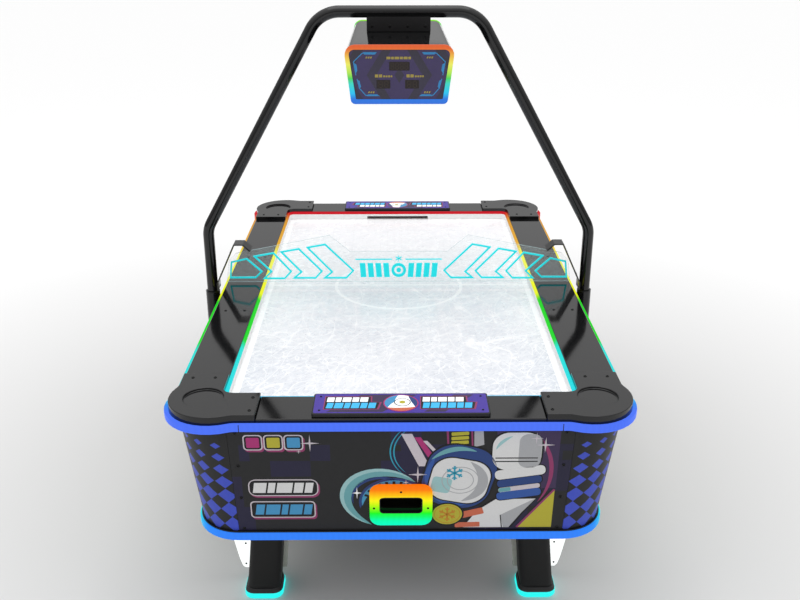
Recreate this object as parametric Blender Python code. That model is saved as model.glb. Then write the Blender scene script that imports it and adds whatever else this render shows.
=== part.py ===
"""Air hockey table with an overhead score arch, modelled as separate pieces.

Metres, +Z up. X runs across the table, Y along it, and the floor is z = 0.
The origin is the middle of the floor area under the table.
"""

from math import atan2, cos, pi, radians, sin, sqrt, tan

import bmesh
import bpy
from mathutils import Vector

# --- Driving dimensions -----------------------------------------------------

GAP = 0.0003                 # clearance between touching pieces
RAIL_TOP = 0.800             # height of the rail's upper face
PLAY_TOP = 0.765             # height of the playing surface
TABLE_HALF_W = 0.650         # straight side of the upper light band
TABLE_HALF_L = 1.059         # straight end of the upper light band
OPEN_HALF_W = 0.505          # inner faces of the side rails
OPEN_HALF_L = 0.914          # inner faces of the end rails
OPEN_CORNER_R = 0.030

CORNER_R = 0.140             # round bulge of each corner
CORNER_INSET = 0.125         # its centre, in from both straight sides
CORNER_FILLET_R = 0.040      # blend from the bulge into the straight sides
CORNER_STEPS = 14
FILLET_STEPS = 3

BAND_T = 0.012               # thickness of both light bands
UPPER_BAND_Z = (0.767, 0.790)
LOWER_BAND_Z = (0.379, 0.402)

CABINET_HALF_W = 0.5925      # at the foot of the panels
CABINET_HALF_L = 0.998
CABINET_R = 0.1225
FLARE = 0.0475               # how much further out the panels stand at their top
FLARE_R = 0.0395             # how much rounder the corners are there
CABINET_STEPS = 10
PANEL_T = 0.016
PANEL_Z = (LOWER_BAND_Z[1] + GAP, PLAY_TOP)
VENT_R = 0.100               # air intake through the base board
CUT = 0.010                  # how far a cutter passes beyond what it cuts

PAD_TOP = 0.813              # height of the raised corner blocks
SIDE_ARM = 0.789             # where a corner block ends along the side
END_ARM = 0.396              # where a corner block ends along the end
REST_R = 0.0565              # round rest for a mallet
REST_XY = (0.554, 0.941)
REST_FLOOR = 0.8065

BOARD_T = 0.018              # playfield board
TRIM_T = 0.009               # wall trim around the playfield
TRIM_TOP = 0.799
TRIM_CHAMFER = 0.009
GOAL_HALF_W = 0.140
GOAL_H = 0.014
DROP_Y = (0.918, 0.972)      # slot that a puck falls through behind each goal
POCKET_TOP = 0.790
POCKET_END = 0.975           # end of the space under the end rail that the puck falls through

RETURN_Z = 0.5055            # middle of each puck return
RETURN_OUTER = (0.0896, 0.0727)
RETURN_MOUTH = (0.0617, 0.0297)
RETURN_HOLE = (0.075, 0.045)
RETURN_HOLE_R = 0.015
RETURN_OUTER_R = 0.030
RETURN_MOUTH_R = 0.012
RETURN_T = 0.0137

CHUTE_Y = 0.905              # back of each puck chute
CHUTE_WALL = 0.008
CHUTE_WIDE = 0.160           # half width under the goal
CHUTE_NARROW = 0.075         # half width at the mouth
CHUTE_Z = (0.450, 0.580, 0.700)

SIGN_HALF_W = 0.244
SIGN_Y = (0.920, 1.040)
SIGN_T = 0.0117

POST_X = 0.695
TUBE_R = 0.020
ARCH_FOOT_Z = 0.5503
ARCH_KNEE_Z = 1.008
ARCH_SHOULDER_X = 0.2645
ARCH_TOP_Z = 1.768
ARCH_KNEE_R = 0.100
ARCH_SHOULDER_R = 0.113
SLEEVE_R = 0.026
SLEEVE_Z = (0.500, 0.765)
WEB_TOP = 0.700

SCORE_Z = (1.528, 1.705)     # housing of the scoreboard
SCORE_TOP_HALF = 0.1695
SCORE_BOTTOM_HALF = 0.1475
SCORE_HALF_L = 0.385
SCORE_BEZEL_T = 0.0157
SCORE_BORDER = 0.014
SCORE_WALL = 0.006

LEG_Y = 0.746                # middle of each leg, from the table's middle
LEG_TOP_X = 0.4125           # the legs lean outwards towards the floor
LEG_FOOT_X = 0.4445
LEG_TOP_HALF = (0.050, 0.050)
LEG_FOOT_HALF = (0.053, 0.050)
LEG_CORNER_R = 0.020
FOOT_TOP = 0.036
FOOT_STEP = 0.021
FOOT_X = 0.446
FOOT_R = 0.030
FOOT_LEVELS = ((0.0, 0.060), (0.004, 0.0625), (0.018, 0.0625), (FOOT_STEP, 0.0605), (FOOT_TOP, 0.057))
FOOT_NARROWER = 0.004        # how much shorter each foot is along the table
FIN_T = 0.016
FIN_SHOWS = 0.012            # how far each fin reaches past its leg's inner side
FIN_TIP_Z = 0.042
FIN_EDGE = ((0.5180, 0.042), (0.5254, 0.050), (0.5338, 0.077), (0.5486, 0.150))
FIN_TOP_X = 0.595
SCREW_BORE_R = 0.009
SCREW_STEM_R = 0.006
SCREW_DISC_R = 0.019
SCREW_DISC_T = 0.010
SCREW_TOP = 0.056
SCREW_LIFT = 0.0015
DISC_BORE_R = 0.022

PLENUM_HALF = (0.490, 0.890)
PLENUM_WALL = 0.012
PLENUM_HOLE_R = 0.080

BLOWER_R = 0.140
BLOWER_Z = (0.500, 0.6667)
BLOWER_WALL = 0.003
BLOWER_INLET_R = 0.075
BLOWER_OUTLET_R = 0.082
BLOWER_FLANGE = (0.018, 0.012)
MOTOR_R = 0.042
MOTOR_Z = (0.590, 0.655)
ARM_Z = (0.615, 0.627)
ARM_HALF = 0.009
ARM_CLEAR = 0.0048           # the arms stop this far inside the housing's outside
SHAFT_R = 0.006
SHAFT_Z = (0.555, 0.610)
SHAFT_BORE_R = 0.0078
WHEEL_R = 0.105
WHEEL_Z = (0.560, 0.564)
BLADES = 10
BLADE_BOTTOM = 0.522
BLADE_SWEEP = 24
BLADE_ENDS = (0.022, 0.100)

DOOR_Y = (0.300, 0.660)      # service door in the left side
DOOR_Z = (0.470, 0.700)
DOOR_GAP = 0.002
DOOR_T = 0.012
PIN_OUT = 0.001              # how far the hinge pin stands outside the door

FLANGE_HALF = 0.070          # plate that holds each post on the cabinet
FLANGE_T = 0.010
WEB_HALF = 0.012
BORE_CLEAR = 0.0008

DIVIDER_HALF_T = 0.003
DIVIDER_EDGE = ((0.628, 0.884), (0.600, 0.913), (0.565, 0.920), (0.254, 0.982), (0.180, 0.919))
DIVIDER_FOOT_X = 0.640
BRACKET_LINE = ((0.6718, 0.775), (0.6718, 0.803), (0.602, 0.9525), (0.570, 0.9525), (0.5430, 0.9275))
BRACKET_T = 0.005
BRACKET_HALF = 0.0275

HANGER_HALF = (0.1075, 0.014)
SCORE_FACE = (0.012, 0.005)  # back and front of each display, in from the end
SCORE_INSET = 0.002          # how far the housing stands inside its bezels

SIDES = (("left", -1), ("right", 1))
ENDS = (("front", -1), ("rear", 1))


# --- Scene and materials ----------------------------------------------------

def clear_scene():
    for obj in list(bpy.data.objects):
        bpy.data.objects.remove(obj, do_unlink=True)


def make_material(name, colour, roughness, metallic=0.0):
    material = bpy.data.materials.new(name)
    material.use_nodes = True
    shader = material.node_tree.nodes["Principled BSDF"]
    shader.inputs["Base Color"].default_value = (*colour, 1.0)
    shader.inputs["Roughness"].default_value = roughness
    shader.inputs["Metallic"].default_value = metallic
    material.diffuse_color = (*colour, 1.0)
    return material


def make_materials():
    return {
        "gloss_black": make_material("gloss_black", (0.012, 0.012, 0.013), 0.12),
        "charcoal": make_material("charcoal", (0.030, 0.030, 0.032), 0.45),
        "light_band": make_material("light_band", (0.10, 0.45, 0.95), 0.30),
        "white_laminate": make_material("white_laminate", (0.90, 0.91, 0.92), 0.25),
        "white_acrylic": make_material("white_acrylic", (0.92, 0.93, 0.93), 0.20),
        "clear_acrylic": make_material("clear_acrylic", (0.85, 0.95, 0.96), 0.05),
        "board": make_material("board", (0.45, 0.33, 0.20), 0.60),
        "indigo_panel": make_material("indigo_panel", (0.020, 0.020, 0.070), 0.15),
        "sign_art": make_material("sign_art", (0.10, 0.07, 0.30), 0.20),
        "steel": make_material("steel", (0.55, 0.56, 0.58), 0.30, 1.0),
        "zinc": make_material("zinc", (0.60, 0.61, 0.62), 0.40, 1.0),
        "black_plastic": make_material("black_plastic", (0.02, 0.02, 0.02), 0.40),
    }


# --- Outlines ---------------------------------------------------------------

def arc(cx, cy, radius, start, end, steps):
    """Points on a circle from the angle start to the angle end, both included."""
    return [
        (cx + radius * cos(start + (end - start) * i / steps),
         cy + radius * sin(start + (end - start) * i / steps))
        for i in range(steps + 1)
    ]


def rounded_rect(half_x, half_y, radius, steps=5, centre=(0.0, 0.0)):
    points = []
    corners = ((1, 1, 0.0), (-1, 1, pi / 2), (-1, -1, pi), (1, -1, 3 * pi / 2))
    for sx, sy, start in corners:
        cx = centre[0] + sx * (half_x - radius)
        cy = centre[1] + sy * (half_y - radius)
        points += arc(cx, cy, radius, start, start + pi / 2, steps)
    return points


def circle(radius, sides, centre=(0.0, 0.0)):
    return arc(centre[0], centre[1], radius, 0.0, 2 * pi, sides)[:-1]


def corner_bulge(inset):
    """The +X +Y corner of the table's rim, moved inwards by inset."""
    half_w = TABLE_HALF_W - inset
    half_l = TABLE_HALF_L - inset
    radius = CORNER_R - inset
    fillet = CORNER_FILLET_R + inset
    cx = TABLE_HALF_W - CORNER_INSET
    cy = TABLE_HALF_L - CORNER_INSET
    run = half_w + fillet - cx
    rise = sqrt((radius + fillet) ** 2 - run ** 2)
    turn = atan2(rise, run)
    points = arc(half_w + fillet, cy - rise, fillet, pi, pi - turn, FILLET_STEPS)[:-1]
    points += arc(cx, cy, radius, -turn, pi / 2 + turn, CORNER_STEPS)
    points += arc(cx - rise, half_l + fillet, fillet, turn - pi / 2, -pi / 2, FILLET_STEPS)[1:]
    return points


def rim(inset):
    """The whole rim: four bulged corners joined by straight sides."""
    corner = corner_bulge(inset)
    points = list(corner)
    points += [(-x, y) for x, y in reversed(corner)]
    points += [(-x, -y) for x, y in corner]
    points += [(x, -y) for x, y in reversed(corner)]
    return points


def thick_line(points, thickness):
    """The outline of a strip of even thickness that follows the points."""
    vectors = [Vector(p) for p in points]
    left = []
    right = []
    for i, point in enumerate(vectors):
        before = (point - vectors[i - 1]).normalized() if i > 0 else None
        after = (vectors[i + 1] - point).normalized() if i < len(vectors) - 1 else None
        before = before or after
        after = after or before
        mean = (before + after).normalized()
        normal = Vector((-mean.y, mean.x))
        reach = thickness / 2 / mean.dot(after)
        left.append(tuple(point + normal * reach))
        right.append(tuple(point - normal * reach))
    return left + right[::-1]


# --- Solids -----------------------------------------------------------------

def place(point, depth, axis):
    """A point of an outline put in space, with depth along the given axis."""
    u, v = point
    return {"Z": (u, v, depth), "Y": (u, depth, v), "X": (depth, u, v)}[axis]


def finish_mesh(name, bm, material):
    bmesh.ops.recalc_face_normals(bm, faces=bm.faces)
    mesh = bpy.data.meshes.new(name)
    bm.to_mesh(mesh)
    bm.free()
    obj = bpy.data.objects.new(name, mesh)
    bpy.context.scene.collection.objects.link(obj)
    if material is not None:
        mesh.materials.append(material)
    return obj


def loft(name, loops, material):
    """A closed solid through loops of equal length, capped at both ends."""
    bm = bmesh.new()
    rows = [[bm.verts.new(p) for p in loop] for loop in loops]
    count = len(rows[0])
    for low, high in zip(rows, rows[1:]):
        for i in range(count):
            j = (i + 1) % count
            bm.faces.new((low[i], low[j], high[j], high[i]))
    bm.faces.new(rows[0])
    bm.faces.new(rows[-1])
    return finish_mesh(name, bm, material)


def prism(name, outline, start, end, material, axis="Z"):
    loops = [[place(p, depth, axis) for p in outline] for depth in (start, end)]
    return loft(name, loops, material)


def ring(name, sections, material, axis="Z"):
    """A closed band: each section is an outline and its depth, taken in turn round the wall."""
    bm = bmesh.new()
    rows = [[bm.verts.new(place(p, depth, axis)) for p in outline] for outline, depth in sections]
    count = len(rows[0])
    for row, following in zip(rows, rows[1:] + rows[:1]):
        for i in range(count):
            j = (i + 1) % count
            bm.faces.new((row[i], row[j], following[j], following[i]))
    return finish_mesh(name, bm, material)


def flat_ring(name, outer, inner, start, end, material, axis="Z"):
    sections = [(outer, start), (outer, end), (inner, end), (inner, start)]
    return ring(name, sections, material, axis)


def turned(name, profile, sides, material, centre=(0.0, 0.0)):
    """A turned solid from (radius, height) points; a closed profile when none is on the axis."""
    sections = [(circle(radius, sides, centre), height) for radius, height in profile]
    return ring(name, sections, material)


def box(name, low, high, material):
    outline = [(low[0], low[1]), (high[0], low[1]), (high[0], high[1]), (low[0], high[1])]
    return prism(name, outline, low[2], high[2], material)


def combine(obj, tool, operation):
    """Cut a tool out of an object, or join it on, with an exact Boolean."""
    tool.hide_render = True
    tool.display_type = "WIRE"
    modifier = obj.modifiers.new(tool.name, "BOOLEAN")
    modifier.operation = operation
    modifier.solver = "EXACT"
    modifier.object = tool
    return obj


def shade(obj, angle=35):
    obj.data.shade_smooth()
    obj.data.set_sharp_from_angle(angle=radians(angle))
    return obj


def move_origin(obj, origin):
    """Puts the origin on the joint without moving the shape."""
    offset = Vector(origin)
    for vertex in obj.data.vertices:
        vertex.co -= offset
    obj.location = offset
    return obj


# --- Cabinet ----------------------------------------------------------------

def cabinet_size(z):
    """Half width, half length and corner radius of the panels' outside at a height."""
    share = (z - PANEL_Z[0]) / (PANEL_Z[1] - PANEL_Z[0])
    return CABINET_HALF_W + FLARE * share, CABINET_HALF_L + FLARE * share, CABINET_R + FLARE_R * share


def build_base(mats):
    outline = rounded_rect(CABINET_HALF_W, CABINET_HALF_L, CABINET_R, CABINET_STEPS)
    base = prism("base_board", outline, *LOWER_BAND_Z, mats["charcoal"])
    vent = prism("vent_cutter", circle(VENT_R, 24), LOWER_BAND_Z[0] - CUT, LOWER_BAND_Z[1] + CUT, None)
    combine(base, vent, "DIFFERENCE")
    outer = rounded_rect(CABINET_HALF_W + BAND_T, CABINET_HALF_L + BAND_T, CABINET_R + BAND_T, CABINET_STEPS)
    inner = rounded_rect(CABINET_HALF_W + GAP, CABINET_HALF_L + GAP, CABINET_R + GAP, CABINET_STEPS)
    shade(flat_ring("lower_light_band", outer, inner, *LOWER_BAND_Z, mats["light_band"]))


def corner_loop(sx, sy, z):
    """A corner panel's outline at a height."""
    half_w, half_l, radius = cabinet_size(z)
    cx = half_w - radius
    cy = half_l - radius
    outer = arc(cx, cy, radius, 0.0, pi / 2, CABINET_STEPS)
    inner = arc(cx, cy, radius - PANEL_T, pi / 2, 0.0, CABINET_STEPS)
    return [(sx * x, sy * y, z) for x, y in outer + inner]


def build_corner_panels(mats):
    for end, sy in ENDS:
        for side, sx in SIDES:
            loops = [corner_loop(sx, sy, z) for z in PANEL_Z]
            shade(loft(f"corner_panel_{end}_{side}", loops, mats["charcoal"]))


def build_end_panels(mats):
    for end, sy in ENDS:
        loops = []
        for z in PANEL_Z:
            half_w, half_l, radius = cabinet_size(z)
            reach = half_w - radius - GAP
            outer = sy * half_l
            inner = sy * (half_l - PANEL_T)
            loops.append([(-reach, inner, z), (reach, inner, z), (reach, outer, z), (-reach, outer, z)])
        panel = loft(f"{end}_panel", loops, mats["charcoal"])
        hole = rounded_rect(*RETURN_HOLE, RETURN_HOLE_R, 3, (0.0, RETURN_Z))
        start = sy * (CABINET_HALF_L - PANEL_T - CUT)
        finish = sy * (CABINET_HALF_L + FLARE)
        combine(panel, prism(f"{end}_return_cutter", hole, start, finish, None, "Y"), "DIFFERENCE")


def build_side_panels(mats):
    for side, sx in SIDES:
        loops = []
        for z in PANEL_Z:
            half_w, half_l, radius = cabinet_size(z)
            reach = half_l - radius - GAP
            outer = sx * half_w
            inner = sx * (half_w - PANEL_T)
            loops.append([(inner, -reach, z), (outer, -reach, z), (outer, reach, z), (inner, reach, z)])
        panel = loft(f"{side}_panel", loops, mats["charcoal"])
        if side == "left":
            low = (-CABINET_HALF_W - FLARE, DOOR_Y[0], DOOR_Z[0])
            high = (-CABINET_HALF_W + PANEL_T + CUT, DOOR_Y[1], DOOR_Z[1])
            combine(panel, box("door_cutter", low, high, None), "DIFFERENCE")


def build_service_door(mats):
    near = DOOR_Y[0] + DOOR_GAP
    far = DOOR_Y[1] - DOOR_GAP
    loops = []
    for z in (DOOR_Z[0] + DOOR_GAP, DOOR_Z[1] - DOOR_GAP):
        outer = -cabinet_size(z)[0]
        loops.append([(outer, near, z), (outer + DOOR_T, near, z), (outer + DOOR_T, far, z), (outer, far, z)])
    door = loft("service_door", loops, mats["charcoal"])
    middle = (DOOR_Z[0] + DOOR_Z[1]) / 2
    move_origin(door, (-cabinet_size(middle)[0] - PIN_OUT, DOOR_Y[0], middle))


# --- Playfield and rails ----------------------------------------------------

def build_playfield(mats):
    top = PLAY_TOP - GAP
    inset = PANEL_T + GAP
    half_w, half_l, corner = cabinet_size(top - BOARD_T)
    outline = rounded_rect(half_w - inset, half_l - inset, corner - inset, CABINET_STEPS)
    board = prism("playfield_board", outline, top - BOARD_T, top, mats["white_laminate"])
    for end, sy in ENDS:
        near, far = sorted((sy * DROP_Y[0], sy * DROP_Y[1]))
        low = (-GOAL_HALF_W, near, top - BOARD_T - CUT)
        high = (GOAL_HALF_W, far, top + CUT)
        combine(board, box(f"{end}_drop_cutter", low, high, None), "DIFFERENCE")


def build_wall_trim(mats):
    half_w = OPEN_HALF_W - GAP
    half_l = OPEN_HALF_L - GAP
    outer = rounded_rect(half_w, half_l, OPEN_CORNER_R - GAP, 6)
    inner = rounded_rect(half_w - TRIM_T, half_l - TRIM_T, OPEN_CORNER_R - GAP - TRIM_T, 6)
    middle = rounded_rect(half_w - TRIM_T / 3, half_l - TRIM_T / 3, OPEN_CORNER_R - GAP - TRIM_T / 3, 6)
    sections = [(outer, PLAY_TOP), (outer, TRIM_TOP), (middle, TRIM_TOP),
                (inner, TRIM_TOP - TRIM_CHAMFER), (inner, PLAY_TOP)]
    trim = ring("playfield_wall_trim", sections, mats["light_band"])
    low = (-GOAL_HALF_W, -OPEN_HALF_L - CUT, PLAY_TOP - CUT)
    high = (GOAL_HALF_W, OPEN_HALF_L + CUT, PLAY_TOP + GOAL_H)
    combine(trim, box("goal_cutter", low, high, None), "DIFFERENCE")


def build_rails(mats):
    outer_x = TABLE_HALF_W - BAND_T - GAP
    outer_y = TABLE_HALF_L - BAND_T - GAP
    bottom = PLAY_TOP + GAP
    for side, sx in SIDES:
        near, far = sorted((sx * OPEN_HALF_W, sx * outer_x))
        low = (near, -SIDE_ARM + GAP, bottom)
        high = (far, SIDE_ARM - GAP, RAIL_TOP)
        box(f"{side}_rail", low, high, mats["gloss_black"])
    for end, sy in ENDS:
        near, far = sorted((sy * OPEN_HALF_L, sy * outer_y))
        low = (-END_ARM + GAP, near, bottom)
        high = (END_ARM - GAP, far, RAIL_TOP)
        rail = box(f"{end}_rail", low, high, mats["gloss_black"])
        near, far = sorted((sy * (OPEN_HALF_L - CUT), sy * POCKET_END))
        low = (-GOAL_HALF_W, near, bottom - CUT)
        high = (GOAL_HALF_W, far, POCKET_TOP)
        combine(rail, box(f"{end}_pocket_cutter", low, high, None), "DIFFERENCE")


def build_corner_blocks(mats):
    inset = BAND_T + GAP
    outer_x = TABLE_HALF_W - inset
    outer_y = TABLE_HALF_L - inset
    fillet = arc(OPEN_HALF_W - OPEN_CORNER_R, OPEN_HALF_L - OPEN_CORNER_R,
                 OPEN_CORNER_R, pi / 2, 0.0, 6)
    outline = [(outer_x, SIDE_ARM)] + corner_bulge(inset) + [(END_ARM, outer_y)]
    outline += [(END_ARM, OPEN_HALF_L)] + fillet + [(OPEN_HALF_W, SIDE_ARM)]
    for end, sy in ENDS:
        for side, sx in SIDES:
            points = [(sx * x, sy * y) for x, y in outline]
            name = f"corner_block_{end}_{side}"
            block = prism(name, points, PLAY_TOP + GAP, PAD_TOP, mats["gloss_black"])
            centre = (sx * REST_XY[0], sy * REST_XY[1])
            rest = prism(f"{name}_cutter", circle(REST_R, 28, centre), REST_FLOOR, PAD_TOP + CUT, None)
            combine(block, rest, "DIFFERENCE")


def build_upper_band(mats):
    band = flat_ring("upper_light_band", rim(0.0), rim(BAND_T), *UPPER_BAND_Z, mats["light_band"])
    shade(band)


def build_signs(mats):
    middle = (SIGN_Y[0] + SIGN_Y[1]) / 2
    half = (SIGN_Y[1] - SIGN_Y[0]) / 2
    for end, sy in ENDS:
        outline = rounded_rect(SIGN_HALF_W, half, 0.006, 2, (0.0, sy * middle))
        bottom = RAIL_TOP + GAP
        prism(f"sign_plate_{end}", outline, bottom, bottom + SIGN_T, mats["sign_art"])


# --- Air supply -------------------------------------------------------------

def build_plenum(mats):
    half = PLENUM_HALF
    wall = PLENUM_WALL
    bottom = BLOWER_Z[1] + GAP
    top = PLAY_TOP - BOARD_T - 2 * GAP
    tray = box("air_plenum", (-half[0], -half[1], bottom), (half[0], half[1], top), mats["board"])
    low = (wall - half[0], wall - half[1], bottom + wall)
    high = (half[0] - wall, half[1] - wall, top + CUT)
    combine(tray, box("plenum_cutter", low, high, None), "DIFFERENCE")
    hole = prism("plenum_hole_cutter", circle(PLENUM_HOLE_R, 24), bottom - CUT, bottom + wall + CUT, None)
    combine(tray, hole, "DIFFERENCE")


def build_blower(mats):
    wall = BLOWER_WALL
    low, high = BLOWER_Z
    rim_r = BLOWER_R + BLOWER_FLANGE[0]
    rim_z = high - BLOWER_FLANGE[1]
    profile = [(BLOWER_INLET_R, low), (BLOWER_R, low), (BLOWER_R, rim_z), (rim_r, rim_z), (rim_r, high),
               (BLOWER_OUTLET_R, high), (BLOWER_OUTLET_R, high - wall), (BLOWER_R - wall, high - wall),
               (BLOWER_R - wall, low + wall), (BLOWER_INLET_R, low + wall)]
    shade(turned("blower_housing", profile, 28, mats["zinc"]))

    motor = prism("blower_motor", circle(MOTOR_R, 20), *MOTOR_Z, mats["steel"])
    combine(motor, prism("motor_arms_tool", motor_arms(), *ARM_Z, None), "UNION")
    bore = prism("motor_bore_cutter", circle(SHAFT_BORE_R, 12), MOTOR_Z[0] - CUT, SHAFT_Z[1] + CUT, None)
    combine(motor, bore, "DIFFERENCE")

    wheel = prism("blower_impeller", circle(WHEEL_R, 28), *WHEEL_Z, mats["black_plastic"])
    blades = prism("impeller_blades_tool", impeller_blades(), BLADE_BOTTOM, WHEEL_Z[0] + 0.001, None)
    combine(wheel, blades, "UNION")
    combine(wheel, prism("impeller_shaft_tool", circle(SHAFT_R, 12), *SHAFT_Z, None), "UNION")


def motor_arms():
    """A cross of four arms that hold the motor to the housing's wall."""
    reach = BLOWER_R - ARM_CLEAR
    half = ARM_HALF
    points = []
    for quarter in range(4):
        angle = quarter * pi / 2
        for u, v in ((half, -half), (reach, -half), (reach, half)):
            points.append((u * cos(angle) - v * sin(angle), u * sin(angle) + v * cos(angle)))
    return points


def impeller_blades():
    """A hub with swept blades, as one outline."""
    inner, outer = BLADE_ENDS
    points = []
    for i in range(BLADES):
        root = 2 * pi * i / BLADES
        tip = root + radians(BLADE_SWEEP)
        corners = ((inner, root - 0.06), (outer, tip - 0.018), (outer, tip + 0.018), (inner, root + 0.06))
        points += [(radius * cos(angle), radius * sin(angle)) for radius, angle in corners]
    return points


# --- Puck returns -----------------------------------------------------------

def chute_outline(wall, top):
    """Hopper seen from the end: wide under the goal, narrow at the mouth."""
    wide = CHUTE_WIDE - wall
    narrow = CHUTE_NARROW - wall
    right = [(narrow, CHUTE_Z[0] + wall), (narrow, CHUTE_Z[1]), (wide, CHUTE_Z[2]), (wide, top)]
    return right + [(-x, z) for x, z in reversed(right)]


def leaning_prism(name, outline, start, end, sy, material, back_leans):
    """A solid along Y whose far end follows the lean of the end panel, and its near end too if asked."""
    loops = []
    for depth, leans in ((start, back_leans), (end, True)):
        loop = []
        for x, z in outline:
            lean = cabinet_size(z)[1] - CABINET_HALF_L if leans else 0.0
            loop.append((x, sy * (depth + lean), z))
        loops.append(loop)
    return loft(name, loops, material)


def build_returns(mats):
    face = CABINET_HALF_L + GAP
    inside = CABINET_HALF_L - PANEL_T - GAP
    wall = CHUTE_WALL
    top = PLAY_TOP - BOARD_T - 2 * GAP
    for end, sy in ENDS:
        outer = rounded_rect(*RETURN_OUTER, RETURN_OUTER_R, 5, (0.0, RETURN_Z))
        inner = rounded_rect(*RETURN_MOUTH, RETURN_MOUTH_R, 5, (0.0, RETURN_Z))
        bezel = leaning_prism(f"return_bezel_{end}", outer, face, face + RETURN_T, sy, mats["light_band"], True)
        hole = leaning_prism(f"{end}_bezel_cutter", inner, face - CUT, face + RETURN_T + CUT, sy, None, True)
        shade(combine(bezel, hole, "DIFFERENCE"))
        chute = leaning_prism(f"puck_chute_{end}", chute_outline(0.0, top), CHUTE_Y, inside, sy,
                              mats["black_plastic"], False)
        hollow = leaning_prism(f"{end}_chute_cutter", chute_outline(wall, top + CUT),
                               CHUTE_Y + wall, inside - wall, sy, None, False)
        combine(chute, hollow, "DIFFERENCE")
        mouth = rounded_rect(*RETURN_MOUTH, RETURN_MOUTH_R, 3, (0.0, RETURN_Z))
        start = sy * (inside - 2 * CUT)
        finish = sy * (inside + 3 * CUT)
        opening = prism(f"{end}_mouth_cutter", mouth, start, finish, None, "Y")
        combine(chute, opening, "DIFFERENCE")


# --- Legs -------------------------------------------------------------------

def leg_centre_x(z):
    share = (z - FOOT_TOP) / (LOWER_BAND_Z[0] - FOOT_TOP)
    return LEG_FOOT_X + (LEG_TOP_X - LEG_FOOT_X) * share


def rounded_loop(centre, half, radius, z, steps=4):
    return [(x, y, z) for x, y in rounded_rect(*half, radius, steps, centre)]


def build_leg(name, sx, sy, mats):
    low = FOOT_TOP + GAP
    high = LOWER_BAND_Z[0] - GAP
    loops = [rounded_loop((sx * LEG_FOOT_X, sy * LEG_Y), LEG_FOOT_HALF, LEG_CORNER_R, low),
             rounded_loop((sx * LEG_TOP_X, sy * LEG_Y), LEG_TOP_HALF, LEG_CORNER_R, high)]
    leg = shade(loft(f"leg_{name}", loops, mats["charcoal"]))
    bore_top = SCREW_TOP + 2 * CUT
    bore = prism(f"leg_{name}_cutter", circle(SCREW_BORE_R, 12, (sx * FOOT_X, sy * LEG_Y)),
                 FOOT_TOP - CUT, bore_top, None)
    combine(leg, bore, "DIFFERENCE")


def build_leg_fin(name, sx, sy, mats):
    """A slanted plate behind the leg, wide under the cabinet and closing to a rounded tip."""
    top_z = LOWER_BAND_Z[0] - GAP
    inner_top = LEG_TOP_X - LEG_TOP_HALF[0] - FIN_SHOWS
    inner_tip = leg_centre_x(FIN_TIP_Z) - LEG_FOOT_HALF[0] - FIN_SHOWS
    outline = [(inner_top, top_z), (inner_tip, FIN_TIP_Z), *FIN_EDGE, (FIN_TOP_X, top_z)]
    points = [(sx * x, z) for x, z in outline]
    start = sy * (LEG_Y - LEG_TOP_HALF[1] - GAP)
    prism(f"leg_fin_{name}", points, start, start - sy * FIN_T, mats["white_acrylic"], "Y")


def build_foot(name, sx, sy, mats):
    centre = (sx * FOOT_X, sy * LEG_Y)
    loops = [rounded_loop(centre, (half, half - FOOT_NARROWER), FOOT_R, z) for z, half in FOOT_LEVELS]
    foot = shade(loft(f"foot_base_{name}", loops, mats["light_band"]), 50)
    bore = prism(f"foot_{name}_cutter", circle(DISC_BORE_R, 20, centre), -CUT, FOOT_TOP + CUT, None)
    combine(foot, bore, "DIFFERENCE")

    disc = prism(f"levelling_foot_{name}", circle(SCREW_DISC_R, 20), 0.0, SCREW_DISC_T, mats["zinc"])
    stem = prism(f"stem_{name}_tool", circle(SCREW_STEM_R, 10), SCREW_DISC_T / 2, SCREW_TOP, None)
    combine(disc, stem, "UNION")
    for obj in (disc, stem):
        obj.location = (*centre, SCREW_LIFT)


def build_legs(mats):
    for end, sy in ENDS:
        for side, sx in SIDES:
            name = f"{end}_{side}"
            build_leg(name, sx, sy, mats)
            build_leg_fin(name, sx, sy, mats)
            build_foot(name, sx, sy, mats)


# --- Arch and scoreboard ----------------------------------------------------

def bend(before, corner, after, radius, steps):
    """Points of an arc that rounds the corner between two straight runs."""
    corner = Vector(corner)
    arrive = (corner - Vector(before)).normalized()
    leave = (Vector(after) - corner).normalized()
    turn = arrive.angle(leave)
    reach = radius * tan(turn / 2)
    inward = (leave - arrive).normalized()
    centre = corner + inward * (radius / cos(turn / 2))
    start = corner - arrive * reach - centre
    side = arrive
    points = []
    for i in range(steps + 1):
        angle = turn * i / steps
        points.append(centre + start * cos(angle) + side * radius * sin(angle))
    return points


def arch_path():
    knee = (POST_X, ARCH_KNEE_Z)
    shoulder = (ARCH_SHOULDER_X, ARCH_TOP_Z)
    foot = (POST_X, ARCH_FOOT_Z)
    right = [Vector(foot)]
    right += bend(foot, knee, shoulder, ARCH_KNEE_R, 4)
    right += bend(knee, shoulder, (0.0, ARCH_TOP_Z), ARCH_SHOULDER_R, 7)
    left = [Vector((-p.x, p.y)) for p in reversed(right)]
    return right + left


def build_arch(mats):
    curve = bpy.data.curves.new("arch_tube", "CURVE")
    curve.dimensions = "3D"
    curve.bevel_depth = TUBE_R
    curve.bevel_resolution = 3
    curve.use_fill_caps = True
    points = arch_path()
    spline = curve.splines.new("POLY")
    spline.points.add(len(points) - 1)
    for target, point in zip(spline.points, points):
        target.co = (point.x, 0.0, point.y, 1.0)
    curve.materials.append(mats["gloss_black"])
    obj = bpy.data.objects.new("arch_tube", curve)
    bpy.context.scene.collection.objects.link(obj)


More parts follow.
